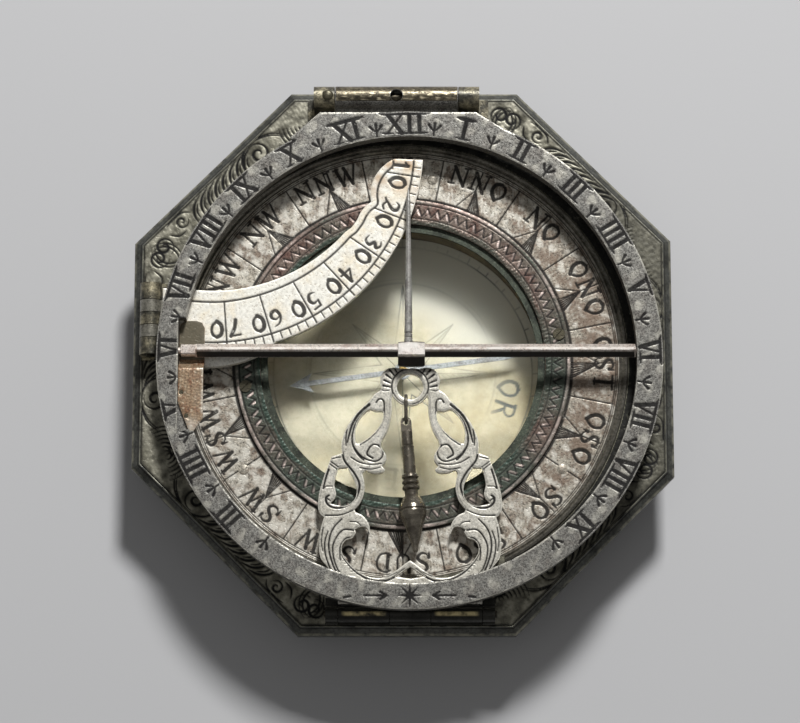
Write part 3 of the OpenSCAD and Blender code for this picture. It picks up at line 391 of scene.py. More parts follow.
def metal(name, look):
    # one finish: tarnish, the second colour by the patch layer (a stain, and on some pieces painted shade or
    # a painted reflection), then wear with painted highlights and wax with painted shade, into a plain
    # Principled shader; roughness = its own value + 0.18 x stain + 0.3 x wax, with a fine bump
    look = {**plainFinish, **look}
    material = bpy.data.materials.new(name)
    material.use_nodes = True
    tree = material.node_tree
    tree.nodes.clear()
    where = addNode(tree, "ShaderNodeTexCoord").outputs["Object"]
    aged = addNode(tree, "ShaderNodeGroup", {
        "Vector": where, "Metal": linear(*look["metal"]), "Stain": linear(*look["stain"]),
        "Pit": linear(*look["pit"]), "Stain Scale": look["stainScale"], "Stain Amount": look["stainAmount"],
        "Pit Scale": look["pitScale"], "Pit Amount": look["pitAmount"], "Mottle": look["mottle"],
    }, node_tree=tarnishGroup).outputs
    color = aged["Color"]
    if "patch" in look:
        color = mixColor(tree, readLayer(tree, "patch"), color, linear(*look["patch"]))
    worn = addNode(tree, "ShaderNodeGroup", {
        "Vector": where, "Color": color, "Bright": linear(*look["bright"]), "Wax": linear(*look["wax"]),
        "Engraved And Shade": readLayer(tree, "engravedAndShade"), "Edge Wear And Highlight": readLayer(tree, "edge"), "Wear And Highlight Amount": look["wear"],
        "Wax Amount": look["waxAmount"],
    }, node_tree=wearAndHighlightGroup).outputs
    rough = mathNode(tree, "ADD", mathNode(tree, "MULTIPLY", aged["Mask"], 0.18), look["roughness"], True)
    rough = mathNode(tree, "ADD", mathNode(tree, "MULTIPLY", worn["Mask"], 0.3), rough, True)
    bump = addNode(tree, "ShaderNodeBump", {
        "Strength": look["bump"], "Distance": look["bumpDepth"], "Height": aged["Height"]}).outputs[0]
    shader = addNode(tree, "ShaderNodeBsdfPrincipled", {
        "Base Color": worn["Color"], "Roughness": rough, "Metallic": look["metallic"], "Normal": bump})
    addNode(tree, "ShaderNodeOutputMaterial", {0: shader.outputs[0]})
    return material


finishes = {
    # bright is worn metal and also the painted highlight along the hour ring's edges
    "silverRing": {
        "metal": (132, 130, 124), "stain": (98, 93, 87), "stainScale": 760.0, "stainAmount": 0.75,
        "pitAmount": 0.85, "pitScale": 7000.0, "mottle": 1.25, "bright": (212, 208, 194), "wear": 0.9,
        "wax": (18, 16, 15), "roughness": 0.38, "metallic": 0.5, "bump": 0.8},
    "directionSilver": {
        "metal": (170, 163, 149), "stain": (112, 94, 80), "stainScale": 620.0, "stainAmount": 0.8,
        "pitAmount": 0.7, "mottle": 1.1, "patch": (118, 99, 83), "bright": (236, 232, 220), "wear": 0.75,
        "wax": (24, 21, 18), "metallic": 0.4, "bump": 0.8},
    "arcSilver": {
        "metal": (246, 243, 232), "stain": (224, 209, 178), "stainScale": 420.0, "pit": (132, 112, 84),
        "mottle": 0.3, "patch": (178, 138, 88), "bright": (242, 240, 230), "wear": 0.4, "wax": (24, 21, 16),
        "roughness": 0.4, "metallic": 0.2},
    "bracketSilver": {
        "metal": (214, 210, 198), "stain": (160, 155, 141), "stainScale": 620.0, "pitAmount": 0.5,
        "mottle": 0.6, "wear": 0.7, "wax": (18, 16, 13), "waxAmount": 1.0, "roughness": 0.38,
        "metallic": 0.4},
    # wax fills the grooves and also paints the shade round the hour ring and to the east
    "plateGilt": {
        "metal": (124, 121, 106), "stain": (66, 63, 50), "stainScale": 300.0, "stainAmount": 0.85,
        "pitAmount": 0.5, "mottle": 0.8, "bright": (186, 182, 164), "wear": 0.85, "wax": (9, 9, 8),
        "waxAmount": 1.0, "roughness": 0.36, "metallic": 0.5},
    "rimDark": {
        "metal": (84, 85, 81), "stain": (44, 44, 40), "stainScale": 420.0, "stainAmount": 0.85,
        "pitAmount": 0.5, "mottle": 0.8, "bright": (160, 157, 140), "wear": 0.75, "roughness": 0.4},
    "boxBrass": {
        "metal": (132, 118, 84), "stain": (80, 68, 46), "roughness": 0.36, "metallic": 0.7},
    "screwDark": {
        "metal": (92, 87, 70), "stain": (46, 42, 32), "stainScale": 900.0, "mottle": 0.6, "roughness": 0.36,
        "metallic": 0.6},
    "needleSteel": {
        "metal": (156, 160, 163), "stain": (104, 100, 96), "stainScale": 500.0, "stainAmount": 0.7,
        "roughness": 0.36, "metallic": 0.4},
    "capBrass": {
        "metal": (164, 138, 84), "stain": (104, 80, 46), "roughness": 0.34, "metallic": 0.7},
    "seatGreen": {
        "metal": (62, 70, 56), "stain": (32, 36, 28), "stainScale": 620.0, "stainAmount": 0.9,
        "pit": (112, 116, 98), "mottle": 1.0, "roughness": 0.55, "metallic": 0.2, "bump": 0.9},
    # patch is green corrosion and also the painted shade; bright is the painted highlight on the teeth and
    # the rim
    "bezelCopper": {
        "metal": (122, 108, 98), "stain": (86, 56, 47), "stainScale": 620.0, "stainAmount": 0.85,
        "pitAmount": 0.6, "mottle": 0.9, "patch": (50, 68, 58), "bright": (232, 212, 202), "wear": 1.0,
        "wax": (13, 11, 10), "roughness": 0.38, "metallic": 0.45, "bump": 0.8},
    "mouldingSilver": {
        "metal": (140, 136, 126), "stain": (62, 58, 52), "stainScale": 420.0, "mottle": 0.7,
        "roughness": 0.28, "metallic": 0.7},
    "hingeDark": {
        "metal": (74, 72, 64), "stain": (186, 176, 146), "stainScale": 430.0, "stainAmount": 0.75,
        "pitAmount": 0.6, "mottle": 0.9, "roughness": 0.34, "metallic": 0.6},
    # bright is the painted highlight along the tops of the bracket's knuckles
    "hingeBlack": {
        "metal": (50, 49, 44), "stain": (28, 27, 24), "stainScale": 600.0, "stainAmount": 0.7,
        "pitAmount": 0.3, "mottle": 0.7, "bright": (206, 190, 142), "wear": 1.1, "roughness": 0.36,
        "metallic": 0.6},
    # bright is worn gilt and also the painted highlight along the knuckle's top
    "knuckleGilt": {
        "metal": (112, 104, 86), "stain": (44, 40, 32), "stainScale": 330.0, "stainAmount": 0.95,
        "pitAmount": 0.6, "mottle": 1.1, "bright": (232, 218, 184), "wear": 1.0, "roughness": 0.28,
        "metallic": 0.7},
    "knuckleWorn": {
        "metal": (140, 137, 126), "stain": (84, 80, 68), "stainScale": 520.0, "mottle": 0.8,
        "roughness": 0.32, "metallic": 0.6},
    "pinSteel": {"metal": (64, 59, 48), "stain": (34, 31, 25), "roughness": 0.34, "metallic": 0.8},
    # patch is the painted shade on the bar's facets and under the boss; bright is the painted highlight on
    # the ridge and the boss's top
    "barSilver": {
        "metal": (222, 212, 202), "stain": (164, 138, 124), "stainScale": 700.0, "stainAmount": 0.7,
        "pitAmount": 0.6, "mottle": 0.6, "patch": (44, 40, 36), "bright": (248, 243, 236), "wear": 0.9,
        "roughness": 0.34, "metallic": 0.35},
    "stylusSteel": {
        "metal": (184, 182, 176), "stain": (104, 100, 94), "stainScale": 700.0, "roughness": 0.3,
        "metallic": 0.5},
    # patch is the olive painted shade on the leaf under the bar; bright is the painted highlight on its bevel
    "springCopper": {
        "metal": (150, 128, 103), "stain": (112, 72, 46), "stainScale": 620.0, "stainAmount": 0.85,
        "pit": (196, 184, 160), "pitAmount": 0.55, "pitScale": 2600.0, "mottle": 1.0, "patch": (92, 88, 72),
        "bright": (218, 212, 198), "wear": 1.0, "metallic": 0.35},
    "bobDark": {
        "metal": (134, 127, 114), "stain": (54, 48, 41), "stainScale": 600.0, "stainAmount": 0.75,
        "mottle": 0.6, "roughness": 0.22, "metallic": 0.8},
    "wireDark": {
        "metal": (110, 105, 95), "stain": (60, 55, 47), "stainScale": 900.0, "roughness": 0.32,
        "metallic": 0.7},
    # patch is the painted reflection that makes the card paler to the north
    "cardCream": {
        "metal": (184, 179, 159), "stain": (170, 158, 126), "stainScale": 90.0, "stainAmount": 0.7,
        "pit": (130, 114, 84), "pitAmount": 0.12, "mottle": 0.2, "patch": (206, 204, 192),
        "wax": (92, 96, 94), "waxAmount": 1.0, "roughness": 0.8, "metallic": 0.0, "bump": 0.1},
}
glassClear = {"color": (250, 251, 248), "ior": 1.3, "roughness": 0.02, "haze": 0.05, "hazeScale": 120.0}


def glassMaterial(name, look):
    # clear glass whose roughness = its own value + haze x patches; the lamps shine through it unchanged
    material = bpy.data.materials.new(name)
    material.use_nodes = True
    tree = material.node_tree
    where = addNode(tree, "ShaderNodeTexCoord").outputs["Object"]
    patches = ramp(tree, noiseNode(tree, where, look["hazeScale"], 4.0, 0.6), 0.35, 0.8)
    rough = mathNode(tree, "ADD", mathNode(tree, "MULTIPLY", patches, look["haze"]), look["roughness"])
    shader = tree.nodes["Principled BSDF"]
    shader.inputs["Base Color"].default_value = linear(*look["color"])
    shader.inputs["Transmission Weight"].default_value = 1.0
    shader.inputs["IOR"].default_value = look["ior"]
    feed(tree, shader.inputs["Roughness"], rough)
    shadow = addNode(tree, "ShaderNodeLightPath").outputs["Is Shadow Ray"]
    clear = addNode(tree, "ShaderNodeBsdfTransparent").outputs[0]
    blend = addNode(tree, "ShaderNodeMixShader", {0: shadow, 1: shader.outputs[0], 2: clear})
    feed(tree, tree.nodes["Material Output"].inputs[0], blend.outputs[0])
    return material


materials = {name: metal(name, look) for name, look in finishes.items()}
materials["glassClear"] = glassMaterial("glassClear", glassClear)

# the nodes that each finish goes on
dressed = {
    "boxBrass": "compass_box bottom_cover", "plateGilt": "base_plate", "rimDark": "rim_moulding",
    "screwDark": "box_screws cover_screws bezel_screws ring_hinge_rivet spring_rivets",
    "needleSteel": "compass_needle needle_pivot", "capBrass": "needle_cap", "glassClear": "compass_glass",
    "seatGreen": "glass_seat_ring", "bezelCopper": "zigzag_bezel", "cardCream": "compass_card",
    "directionSilver": "direction_ring direction_ring_rivets", "mouldingSilver": "circle_moulding",
    "hingeDark": "ring_hinge_block arc_hinge_block", "hingeBlack": "bracket_hinge_block bracket_knuckles",
    "pinSteel": "ring_hinge_pin arc_hinge_pin bracket_hinge_pin", "knuckleWorn": "arc_knuckles",
    "silverRing": "hour_ring", "barSilver": "gnomon_bar", "stylusSteel": "gnomon_stylus",
    "springCopper": "detent_spring", "arcSilver": "latitude_arc", "bracketSilver": "plummet_bracket",
    "wireDark": "plumb_link", "bobDark": "plumb_bob",
}
for finish, names in dressed.items():
    for name in names.split():
        nodes[name].data.materials.clear()
        nodes[name].data.materials.append(materials[finish])


def finishPiece(piece, finish, body, replaced=()):
    # gives a new piece its material and its body, and hides the nodes it stands in for
    piece.data.materials.append(materials[finish])
    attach(piece, body)
    if replaced:
        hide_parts(*replaced)


print("finishes made")

# Floor and light, in metres.

studio = {"floor": (190, 190, 191), "floorHalf": 3.0, "floorRoughness": 0.9, "sky": 0.15,
          "lamps": {"key": {"power": 4.9, "size": 0.1, "place": (0.10, 0.45, 0.46)},
                    "fill": {"power": 0.15, "size": 0.5, "place": (-0.14, -0.12, 0.68)}}}


def addStudio(look):
    # a square floor at height 0, square lamps that face the origin, and an even sky
    half = look["floorHalf"]
    mesh = bpy.data.meshes.new("floor")
    mesh.from_pydata([(-half, -half, 0), (half, -half, 0), (half, half, 0), (-half, half, 0)], [],
                     [(0, 1, 2, 3)])
    floor = bpy.data.objects.new("floor", mesh)
    bpy.context.scene.collection.objects.link(floor)
    material = bpy.data.materials.new("floorPaper")
    material.use_nodes = True
    shader = material.node_tree.nodes["Principled BSDF"]
    shader.inputs["Base Color"].default_value = linear(*look["floor"])
    shader.inputs["Roughness"].default_value = look["floorRoughness"]
    mesh.materials.append(material)
    for name, light in look["lamps"].items():
        data = bpy.data.lights.new(name, "AREA")
        data.energy, data.size = light["power"], light["size"]
        lamp = bpy.data.objects.new(name, data)
        lamp.location = light["place"]
        lamp.rotation_euler = (-Vector(light["place"])).to_track_quat("-Z", "Y").to_euler()
        bpy.context.scene.collection.objects.link(lamp)
    world = bpy.data.worlds.new("studio")
    world.use_nodes = True
    sky = world.node_tree.nodes["Background"]
    sky.inputs[0].default_value = (1, 1, 1, 1)
    sky.inputs[1].default_value = look["sky"]
    bpy.context.scene.world = world
    bpy.context.scene.view_settings.view_transform = "Standard"


addStudio(studio)
print("studio set")

# Faces laid over the frame's solids.

inset = 0.02        # how far a new face stays inside the outline of its solid
hemDrop = 0.12      # how far its hem hangs into the solid
edgeReach = 0.3     # distances to an outline are worked out up to here


def nodeTriangles(name):
    # the corners of a node's triangles, in millimetres
    mesh = nodes[name].data
    points = np.empty(len(mesh.vertices) * 3, dtype=np.float32)
    mesh.vertices.foreach_get("co", points)
    corners = np.empty(len(mesh.loops), dtype=np.int32)
    mesh.loops.foreach_get("vertex_index", corners)
    return points.reshape(-1, 3)[corners].reshape(-1, 3, 3) / mm


def boxOf(name):
    # a node's least and greatest x, y and z
    points = nodeTriangles(name).reshape(-1, 3)
    return points.min(axis=0), points.max(axis=0)


def flatFace(name, level, slack=0.002):
    # the node's upward triangles that lie at one height, give or take the slack, and the edges that only one
    # of them has
    triangles = nodeTriangles(name)
    flat = triangles[np.all(np.abs(triangles[:, :, 2] - level) < slack, axis=1)][:, :, :2]
    a, b, c = flat[:, 0], flat[:, 1], flat[:, 2]
    turn = (b[:, 0] - a[:, 0]) * (c[:, 1] - a[:, 1]) - (b[:, 1] - a[:, 1]) * (c[:, 0] - a[:, 0])
    flat = flat[turn > 1e-7]
    keys, ids = np.unique(np.round(flat.reshape(-1, 2), 3), axis=0, return_inverse=True)
    ids = ids.reshape(-1, 3)
    edges = np.vstack([ids[:, [0, 1]], ids[:, [1, 2]], ids[:, [2, 0]]])
    pairs, counts = np.unique(np.sort(edges, axis=1), axis=0, return_counts=True)
    return flat, keys[pairs[counts == 1]]


def insideTriangles(x, y, triangles):
    # a point is inside when some triangle has it on the left of all three sides
    inside = np.zeros(len(x), dtype=bool)
    order = np.argsort(x)
    sortedX = x[order]
    for t in triangles:
        low, high = np.searchsorted(sortedX, [t[:, 0].min(), t[:, 0].max()])
        near = order[low:high]
        near = near[(y[near] >= t[:, 1].min()) & (y[near] <= t[:, 1].max())]
        hit = np.ones(len(near), dtype=bool)
        for a, b in ((0, 1), (1, 2), (2, 0)):
            dx, dy = t[b] - t[a]
            hit &= dx * (y[near] - t[a, 1]) - dy * (x[near] - t[a, 0]) > -1e-6
        inside[near[hit]] = True
    return inside


def nearestEdge(x, y, edges, reach):
    # distance to the outline and the outline's nearest point, looked for within the reach
    gap, foot = np.full(len(x), reach), np.stack([x, y], axis=1)
    order = np.argsort(x)
    sortedX = x[order]
    for a, b in edges:
        low, high = np.searchsorted(sortedX, [min(a[0], b[0]) - reach, max(a[0], b[0]) + reach])
        near = order[low:high]
        near = near[(y[near] > min(a[1], b[1]) - reach) & (y[near] < max(a[1], b[1]) + reach)]
        d = b - a
        t = np.clip(((x[near] - a[0]) * d[0] + (y[near] - a[1]) * d[1]) / (d @ d + 1e-12), 0, 1)
        px, py = a[0] + t * d[0], a[1] + t * d[1]
        away = np.hypot(x[near] - px, y[near] - py)
        closer = away < gap[near]
        gap[near[closer]] = away[closer]
        foot[near[closer]] = np.stack([px[closer], py[closer]], axis=1)
    return gap, foot


def faceSkin(name, look, where=None):
    # a fine net over a node's flat top: kept where all four corners of a cell lie on the face, with its edge
    # vertices pulled to the nearest point of the outline + inset x the way in
    top = look.get("level", boxOf(name)[1][2])
    triangles, edges = flatFace(name, top, look.get("slack", 0.002))
    low, high = triangles.reshape(-1, 2).min(axis=0), triangles.reshape(-1, 2).max(axis=0)
    pitch = look["pitch"]
    xs, ys = [np.arange(low[k] - pitch, high[k] + 2 * pitch, pitch) for k in (0, 1)]
    x, y = [a.ravel() for a in np.meshgrid(xs, ys, indexing="ij")]
    inside = insideTriangles(x, y, triangles)
    if where is not None:
        inside &= where(x, y)
    quads = gridQuads(len(xs), len(ys))[:, ::-1]
    quads = quads[inside[quads].all(axis=1)]
    used, quads = np.unique(quads, return_inverse=True)
    x, y, quads = x[used], y[used], quads.reshape(-1, 4)
    around = np.vstack([quads[:, [k, (k + 1) % 4]] for k in range(4)])
    forward, backward = around[:, 0] * len(x) + around[:, 1], around[:, 1] * len(x) + around[:, 0]
    border = around[~np.isin(forward, backward)]
    gap, foot = nearestEdge(x, y, edges, edgeReach)
    rimmed = np.unique(border)
    snap = rimmed[gap[rimmed] < 2.2 * pitch]
    toward = np.stack([x[snap], y[snap]], axis=1) - foot[snap]
    toward /= np.maximum(np.linalg.norm(toward, axis=1, keepdims=True), 1e-6)
    x[snap], y[snap] = (foot[snap] + toward * inset).T
    gap[snap] = 0
    return {"x": x, "y": y, "quads": quads, "border": border, "gap": gap, "top": top, "edges": edges}


def raiseSkin(name, net, heights, layers):
    # lifts the net to top + heights and hangs a hem from its border
    x, y, border = net["x"], net["y"], net["border"]
    ring, place = np.unique(border, return_inverse=True)
    place = place.reshape(-1, 2) + len(x)
    points = np.stack([x, y, net["top"] + heights], axis=1)
    hem = np.stack([x[ring], y[ring], np.full(len(ring), net["top"] - hemDrop)], axis=1)
    sides = np.stack([border[:, 0], place[:, 0], place[:, 1], border[:, 1]], axis=1)
    layers = {key: np.append(values, values[ring] * 0) for key, values in layers.items()}
    return makePiece(name, np.vstack([points, hem]), np.vstack([net["quads"], sides]), layers)


def steady(radius):
    # a radius that is the same at every angle
    return lambda angle: radius + 0 * angle


def ringSkin(centre, inner, outer, pitch, top, span=(0, 360)):
    # a net of spokes and rings: centre + (inner + share x (outer - inner)) x (cosine, sine) over the span of
    # degrees, where inner and outer are functions of the angle; its first and last ring are the hem
    turn = np.linspace(0, 2 * np.pi, 720)
    start, end = np.radians(span)
    whole = span[1] - span[0] >= 360
    spokes = int((end - start) * np.max(outer(turn)) / pitch)
    rings = int(np.median(outer(turn) - inner(turn)) / pitch) + 1
    angle = np.linspace(start, end, spokes, endpoint=not whole)[:, None]
    share = np.concatenate([[0], np.linspace(0, 1, rings), [1]])[None, :]
    radius = inner(angle) + (outer(angle) - inner(angle)) * share
    hem = np.zeros_like(radius, dtype=bool)
    hem[:, [0, -1]] = True
    gap = np.minimum(radius - inner(angle), outer(angle) - radius)
    net = {"x": centre[0] + radius * np.cos(angle), "y": centre[1] + radius * np.sin(angle), "gap": gap,
           "radius": radius, "angle": angle + 0 * radius, "hem": hem}
    net = {key: values.ravel() for key, values in net.items()}
    return {**net, "top": top, "quads": gridQuads(spokes, rings + 2, closeColumns=whole)}


def raiseRing(name, net, heights, layers):
    # lifts the net to top + heights, but for its hem
    z = np.where(net["hem"], net["top"] - hemDrop, net["top"] + heights)
    layers = {key: np.where(net["hem"], 0, values) for key, values in layers.items()}
    return makePiece(name, np.stack([net["x"], net["y"], z], axis=1), net["quads"], layers)


def softEdge(gap, width, drop):
    # a rounded arris: the height falls by `drop` over the last `width` of the face
    t = np.clip(1 - gap / width, 0, 1)
    return -drop * t * t


def nearEdge(gap, width):
    # one at the edge, nothing from `width` inwards: the share of the width that is left, to the power of 1.5
    return np.clip(1 - gap / width, 0, 1) ** 1.5


def carved(look, depth, gap):
    # height of an engraved face: lift - cut depth x depth - the soft edge's fall
    return look["lift"] - look["cutDepth"] * depth + softEdge(gap, *look["softEdge"])


# Hour ring.

hourRing = {
    "pitch": 0.075, "lift": 0.06, "cutDepth": 0.05, "softEdge": (0.22, 0.05), "centre": (0.75, 0.0),
    "width": 2.85, "numeralRadius": 26.4, "numeralHeight": 2.25, "northStretch": 0.38, "northReach": 25.0,
    "tridentSize": 1.35, "tridentFoot": 25.05, "southRadius": 26.3, "southSpread": 37.5,
    "lugEnds": ((-13.25, 24.8), (14.3, 23.4)), "lugTop": (-9.95, 7.4), "lugDrop": 0.1, "notchGap": 0.07,
    "boreDarkRadius": 24.97, "boreDarkWidth": 0.3,
    "angles": [221.9, 206.9, 192.6, 177.8, 162.7, 148.0, 134.3, 120.1, 105.3, 91.2, 76.6, 61.8, 46.2,
        31.2, 17.0, 1.4, -14.2, -29.8, -45.0],
    "hours": "III IIII V VI VII VIII IX X XI XII I II III IIII V VI VII VIII IX".split(),
}
springBox = boxOf("detent_spring")
hourRing["outer"] = hourRing["centre"][0] - boxOf("hour_ring")[0][0]
hourRing["top"] = springBox[1][2]


def bar(left, right, height, width):
    # a level stroke whose two ends taper like serifs
    steps = np.array([left, left + 0.16, right - 0.16, right])
    return np.stack([steps, np.full(4, height), width * np.array([0.35, 1.0, 1.0, 0.35])], axis=1)


def romanNumeral(text):
    # strokes side by side, tied by one long bar on the outside; an I has a short bar inside too, and an X two
    widths = {"I": 0.36, "V": 0.68, "X": 0.7}
    strokes, cursor, whole = [], 0.0, sum(widths[c] for c in text)
    heavy, fine = 0.108, 0.06
    for c in text:
        x = cursor + widths[c] / 2 - whole / 2
        if c == "I":
            strokes += [cut([(x, 0.5), (x, -0.46)], heavy, 0.9), bar(x - 0.3, x + 0.3, -0.5, fine)]
        else:
            low = 0.0 if c == "V" else 0.26
            strokes.append(cut([(x - 0.27, 0.5), (x + low, -0.5)], heavy))
            strokes.append(cut([(x + 0.28, 0.5), (x - low, -0.5)], fine))
        if c == "X":
            strokes += [bar(x - 0.45, x - 0.05, -0.5, fine), bar(x + 0.05, x + 0.45, -0.5, fine)]
        cursor += widths[c]
    strokes.append(bar(-whole / 2 - 0.2, whole / 2 + 0.2, 0.52, heavy))
    return strokes


def trident():
    # a stem from the ring's bore and three wedges that fan out from its top
    side = cut(through([(0, 0.45), (0.26, 0.66), (0.48, 0.95)]), 0.07, 1.8)
    stem = [cut([(0, -0.15), (0, 0.5)], 0.08), cut([(0, 0.45), (0.02, 1.1)], 0.08, 1.6)]
    return stem + [side] + scaled([side], -1)


def hourStrokes(look):
    # a numeral on each angle and a trident halfway to the next; at the south two tridents more, and a star of
    # eight wedges between two arrows
    centre, angles, strokes = look["centre"], look["angles"], []
    for text, angle in zip(look["hours"], angles):
        # wider near the north, by a bell curve
        wide = 1 + look["northStretch"] * math.exp(-((angle - 90) / look["northReach"]) ** 2)
        strokes += standOn(scaled(romanNumeral(text), wide), look["numeralRadius"], angle,
                           look["numeralHeight"], centre)
    halfway = [(angle + last) / 2 for angle, last in zip(angles[1:], angles)]
    for angle in halfway + [270 + look["southSpread"], 270 - look["southSpread"]]:
        strokes += standOn(trident(), look["tridentFoot"], angle, look["tridentSize"], centre)
    star = [rayLine(turn, 0.1, 1.25, 0.19, 0.25) for turn in range(0, 360, 45)]
    arrow = [cut([(4.9, 0), (2.5, 0)], 0.13), cut([(3.2, 0.4), (2.5, 0), (3.2, -0.4)], 0.13),
             cut([(6.4, 0.1), (7.1, 0.2)], 0.14)]
    return strokes + standOn(star + arrow + scaled(arrow, -1), look["southRadius"], 270, 1.0, centre)


def hourInner(angle):
    # the ring's bore, cut back at the west where the spring and the bar's end are let in
    x, y = np.cos(angle), np.sin(angle)
    spare = hourRing["notchGap"]
    notch = (hourRing["centre"][0] - springBox[0][0] + spare) / np.maximum(-x, 0.3)
    inNotch = (x < 0) & (notch * y < springBox[1][1] + spare) & (notch * y > springBox[0][1] - spare)
    return np.where(inNotch, notch, hourRing["outer"] - hourRing["width"] + inset)


def hourOuter(angle):
    # the ring's edge, or where a ray at this angle meets the straight sides of the lug at the north
    plain = hourRing["outer"] - inset
    reach = plain - hourRing["lugDrop"]
    west, east = hourRing["lugEnds"]
    lug = np.array([west, *[(x, reach) for x in hourRing["lugTop"]], east])
    c, s = np.cos(angle), np.sin(angle)
    result = plain + 0 * angle
    for a, b in zip(lug[:-1], lug[1:]):
        d = b - a
        t = (a[0] * s - a[1] * c) / (d[1] * c - d[0] * s + 1e-9)
        far = (a[0] + t * d[0]) * c + (a[1] + t * d[1]) * s
        result = np.where((t >= 0) & (t <= 1) & (far > result), far, result)
    return result


def buildHourRing(look):
    # carved height + small dents; darker in patches along the bore, a painted highlight along both edges, and
    # wear in patches
    net = ringSkin(look["centre"], hourInner, hourOuter, look["pitch"], look["top"])
    x, y, gap = net["x"], net["y"], net["gap"]
    depth = engrave(x, y, hourStrokes(look), 0.07)
    bore = np.clip(1 - (net["radius"] - look["boreDarkRadius"]) / look["boreDarkWidth"], 0, 1)
    # darker in noisy patches along the bore
    boreDark = 0.8 * np.clip(smoothNoise(x, y, 1.3, 5) + 0.25, 0, 1) * bore
    heights = carved(look, depth, gap) + 0.012 * smoothNoise(x, y, 0.7, 11) * np.clip(gap, 0, 1)
    worn = np.clip(2.4 * smoothNoise(x, y, 1.9, 19) - 0.3, 0, 0.5)
    # edge: a painted highlight along both edges, and wear in patches
    layers = {"engravedAndShade": np.maximum(depth, boreDark), "edge": np.maximum(nearEdge(gap, 0.2), worn)}
    finishPiece(raiseRing("hourRingFace", net, heights, layers), "silverRing", "ring")


buildHourRing(hourRing)
print("hour ring made")

# Direction ring.

directionRing = {
    "pitch": 0.078, "lift": 0.06, "cutDepth": 0.05, "softEdge": (0.15, 0.04), "tuck": 0.3,
    "letterRadius": 22.3, "letterHeight": 2.0, "letterGap": 1.26, "letterWeight": 1.4, "border": 23.62,
    "pointerHalf": 1.45, "pointerHeight": 2.7, "pointerLine": 4.9, "mainPointer": 1.15,
    "names": "N NNO NO ONO OST OSO SO SSO SUD SSW SW WSW WEST WNW NW NNW".split(),
}
letterWidths = {
    "R": 0.9, "M": 1.1, "W": 1.22, "N": 0.96, "O": 0.88, "S": 0.8, "D": 0.84, "U": 0.88, "E": 0.78,
    "T": 0.82,
}


def word(text, radius, degrees, height, gap, weight):
    # letters along a circle, clockwise, each turned by its distance along it / the radius
    widths = [letterWidths[c] * height * gap for c in text]
    strokes, along = [], -sum(widths) / 2
    for c, width in zip(text, widths):
        strokes += standOn(letters[c], radius, degrees - math.degrees((along + width / 2) / radius), height)
        along += width
    return scaled(strokes, width=weight)


def pointer(half, height, line):
    # triangle standing on the inner edge with its right half hatched, and a line beyond its tip
    strokes = [cut([(-half, 0), (0, height)], 0.07), cut([(half, 0), (0, height)], 0.1),
               cut([(0, 0), (0, line)], 0.075)]
    for k in np.linspace(0.14, 0.86, 5):
        strokes.append(cut([(half * k, 0), (half * k * 0.1, height * (1 - 0.1 * k))], 0.09, 0.5))
    return strokes


def directionStrokes(look, foot):
    # a double line near the border, and each direction's name and pointer, with a line halfway to the next
    strokes = [ringLine(look["border"], 0.06), ringLine(look["border"] + 0.2, 0.03)]
    step = 360 / len(look["names"])
    for k, text in enumerate(look["names"]):
        middle = 90 - k * step
        size = look["mainPointer"] if k % 4 == 0 else 1.0
        mark = pointer(look["pointerHalf"] * size, look["pointerHeight"] * size, look["pointerLine"])
        strokes += standOn(mark, foot, middle, 1.0)
        strokes += word(text, look["letterRadius"], middle, look["letterHeight"], look["letterGap"],
                        look["letterWeight"])
        strokes.append(rayLine(middle + step / 2, foot, look["border"], 0.08))
    return strokes


def buildDirectionRing(look, name, start):
    # one half of the ring, so that each mesh stays light: the second colour gathers at the east, and wear at
    # the west and, in streaks, at the north and south
    high = boxOf("direction_ring")[1]
    foot = boxOf("zigzag_bezel")[1][0]
    net = ringSkin((0, 0), steady(foot - look["tuck"]), steady(high[0] - inset), look["pitch"], high[2],
                   span=(start, start + 180))
    x, y, gap, angle = net["x"], net["y"], net["gap"], net["angle"]
    depth = engrave(x, y, directionStrokes(look, foot + 0.05), 0.07)
    heights = carved(look, depth, gap) + 0.008 * smoothNoise(x, y, 0.9, 3)
    east = 0.5 + 0.5 * np.cos(angle - 0.25)
    pale = np.clip(np.abs(np.sin(angle)) - 0.3, 0, 0.65)
    cloudy = 0.9 * smoothNoise(x, y, 2.6, 21) + 0.6 * smoothNoise(x, y, 0.7, 22)
    streaks = smoothNoise(3.0 * x, 0.7 * y, 0.8, 24)
    worn = 2.4 * smoothNoise(x, y, 1.4, 23) + 0.55 - east + (1.0 + 1.6 * streaks) * pale
    joint = np.clip(3.3 - (net["radius"] - foot) / 0.12, 0, 1)
    patch = np.clip(cloudy - 0.05 + 0.55 * east - 0.75 * pale, 0, 0.75)
    worn = np.maximum(nearEdge(gap, 0.15), np.clip(worn, 0, 0.9))
    layers = {"engravedAndShade": np.maximum(depth, joint), "edge": worn, "patch": patch}
    finishPiece(raiseRing(name, net, heights, layers), "directionSilver", "base")


for name, start in (("directionRingNorth", 0), ("directionRingSouth", 180)):
    buildDirectionRing(directionRing, name, start)
print("direction ring made")

# Zigzag bezel.

zigzagBezel = {
    "pitch": 0.08, "lift": 0.075, "cutDepth": 0.045, "softEdge": (0.25, 0.04), "width": 2.8, "teeth": 100,
    "tip": 0.45, "zigIn": 16.8, "zigOut": 17.75, "rimLine": 18.12, "innerLine": 16.5,
}


def bezelStrokes(look):
    # the two sides of every tooth, and the dark lines on both sides of the band
    strokes = [ringLine(look["rimLine"], 0.07), ringLine(look["innerLine"], 0.05)]
    step = 360 / look["teeth"]
    for k in range(look["teeth"]):
        start, end = [polarPoint(look["zigIn"], turn * step) for turn in (k, k + 1)]
        tip = polarPoint(look["zigOut"], (k + look["tip"]) * step)
        strokes += [cut([start, tip], 0.1, 0.8), cut([tip, end], 0.05, 1.6)]
    return strokes


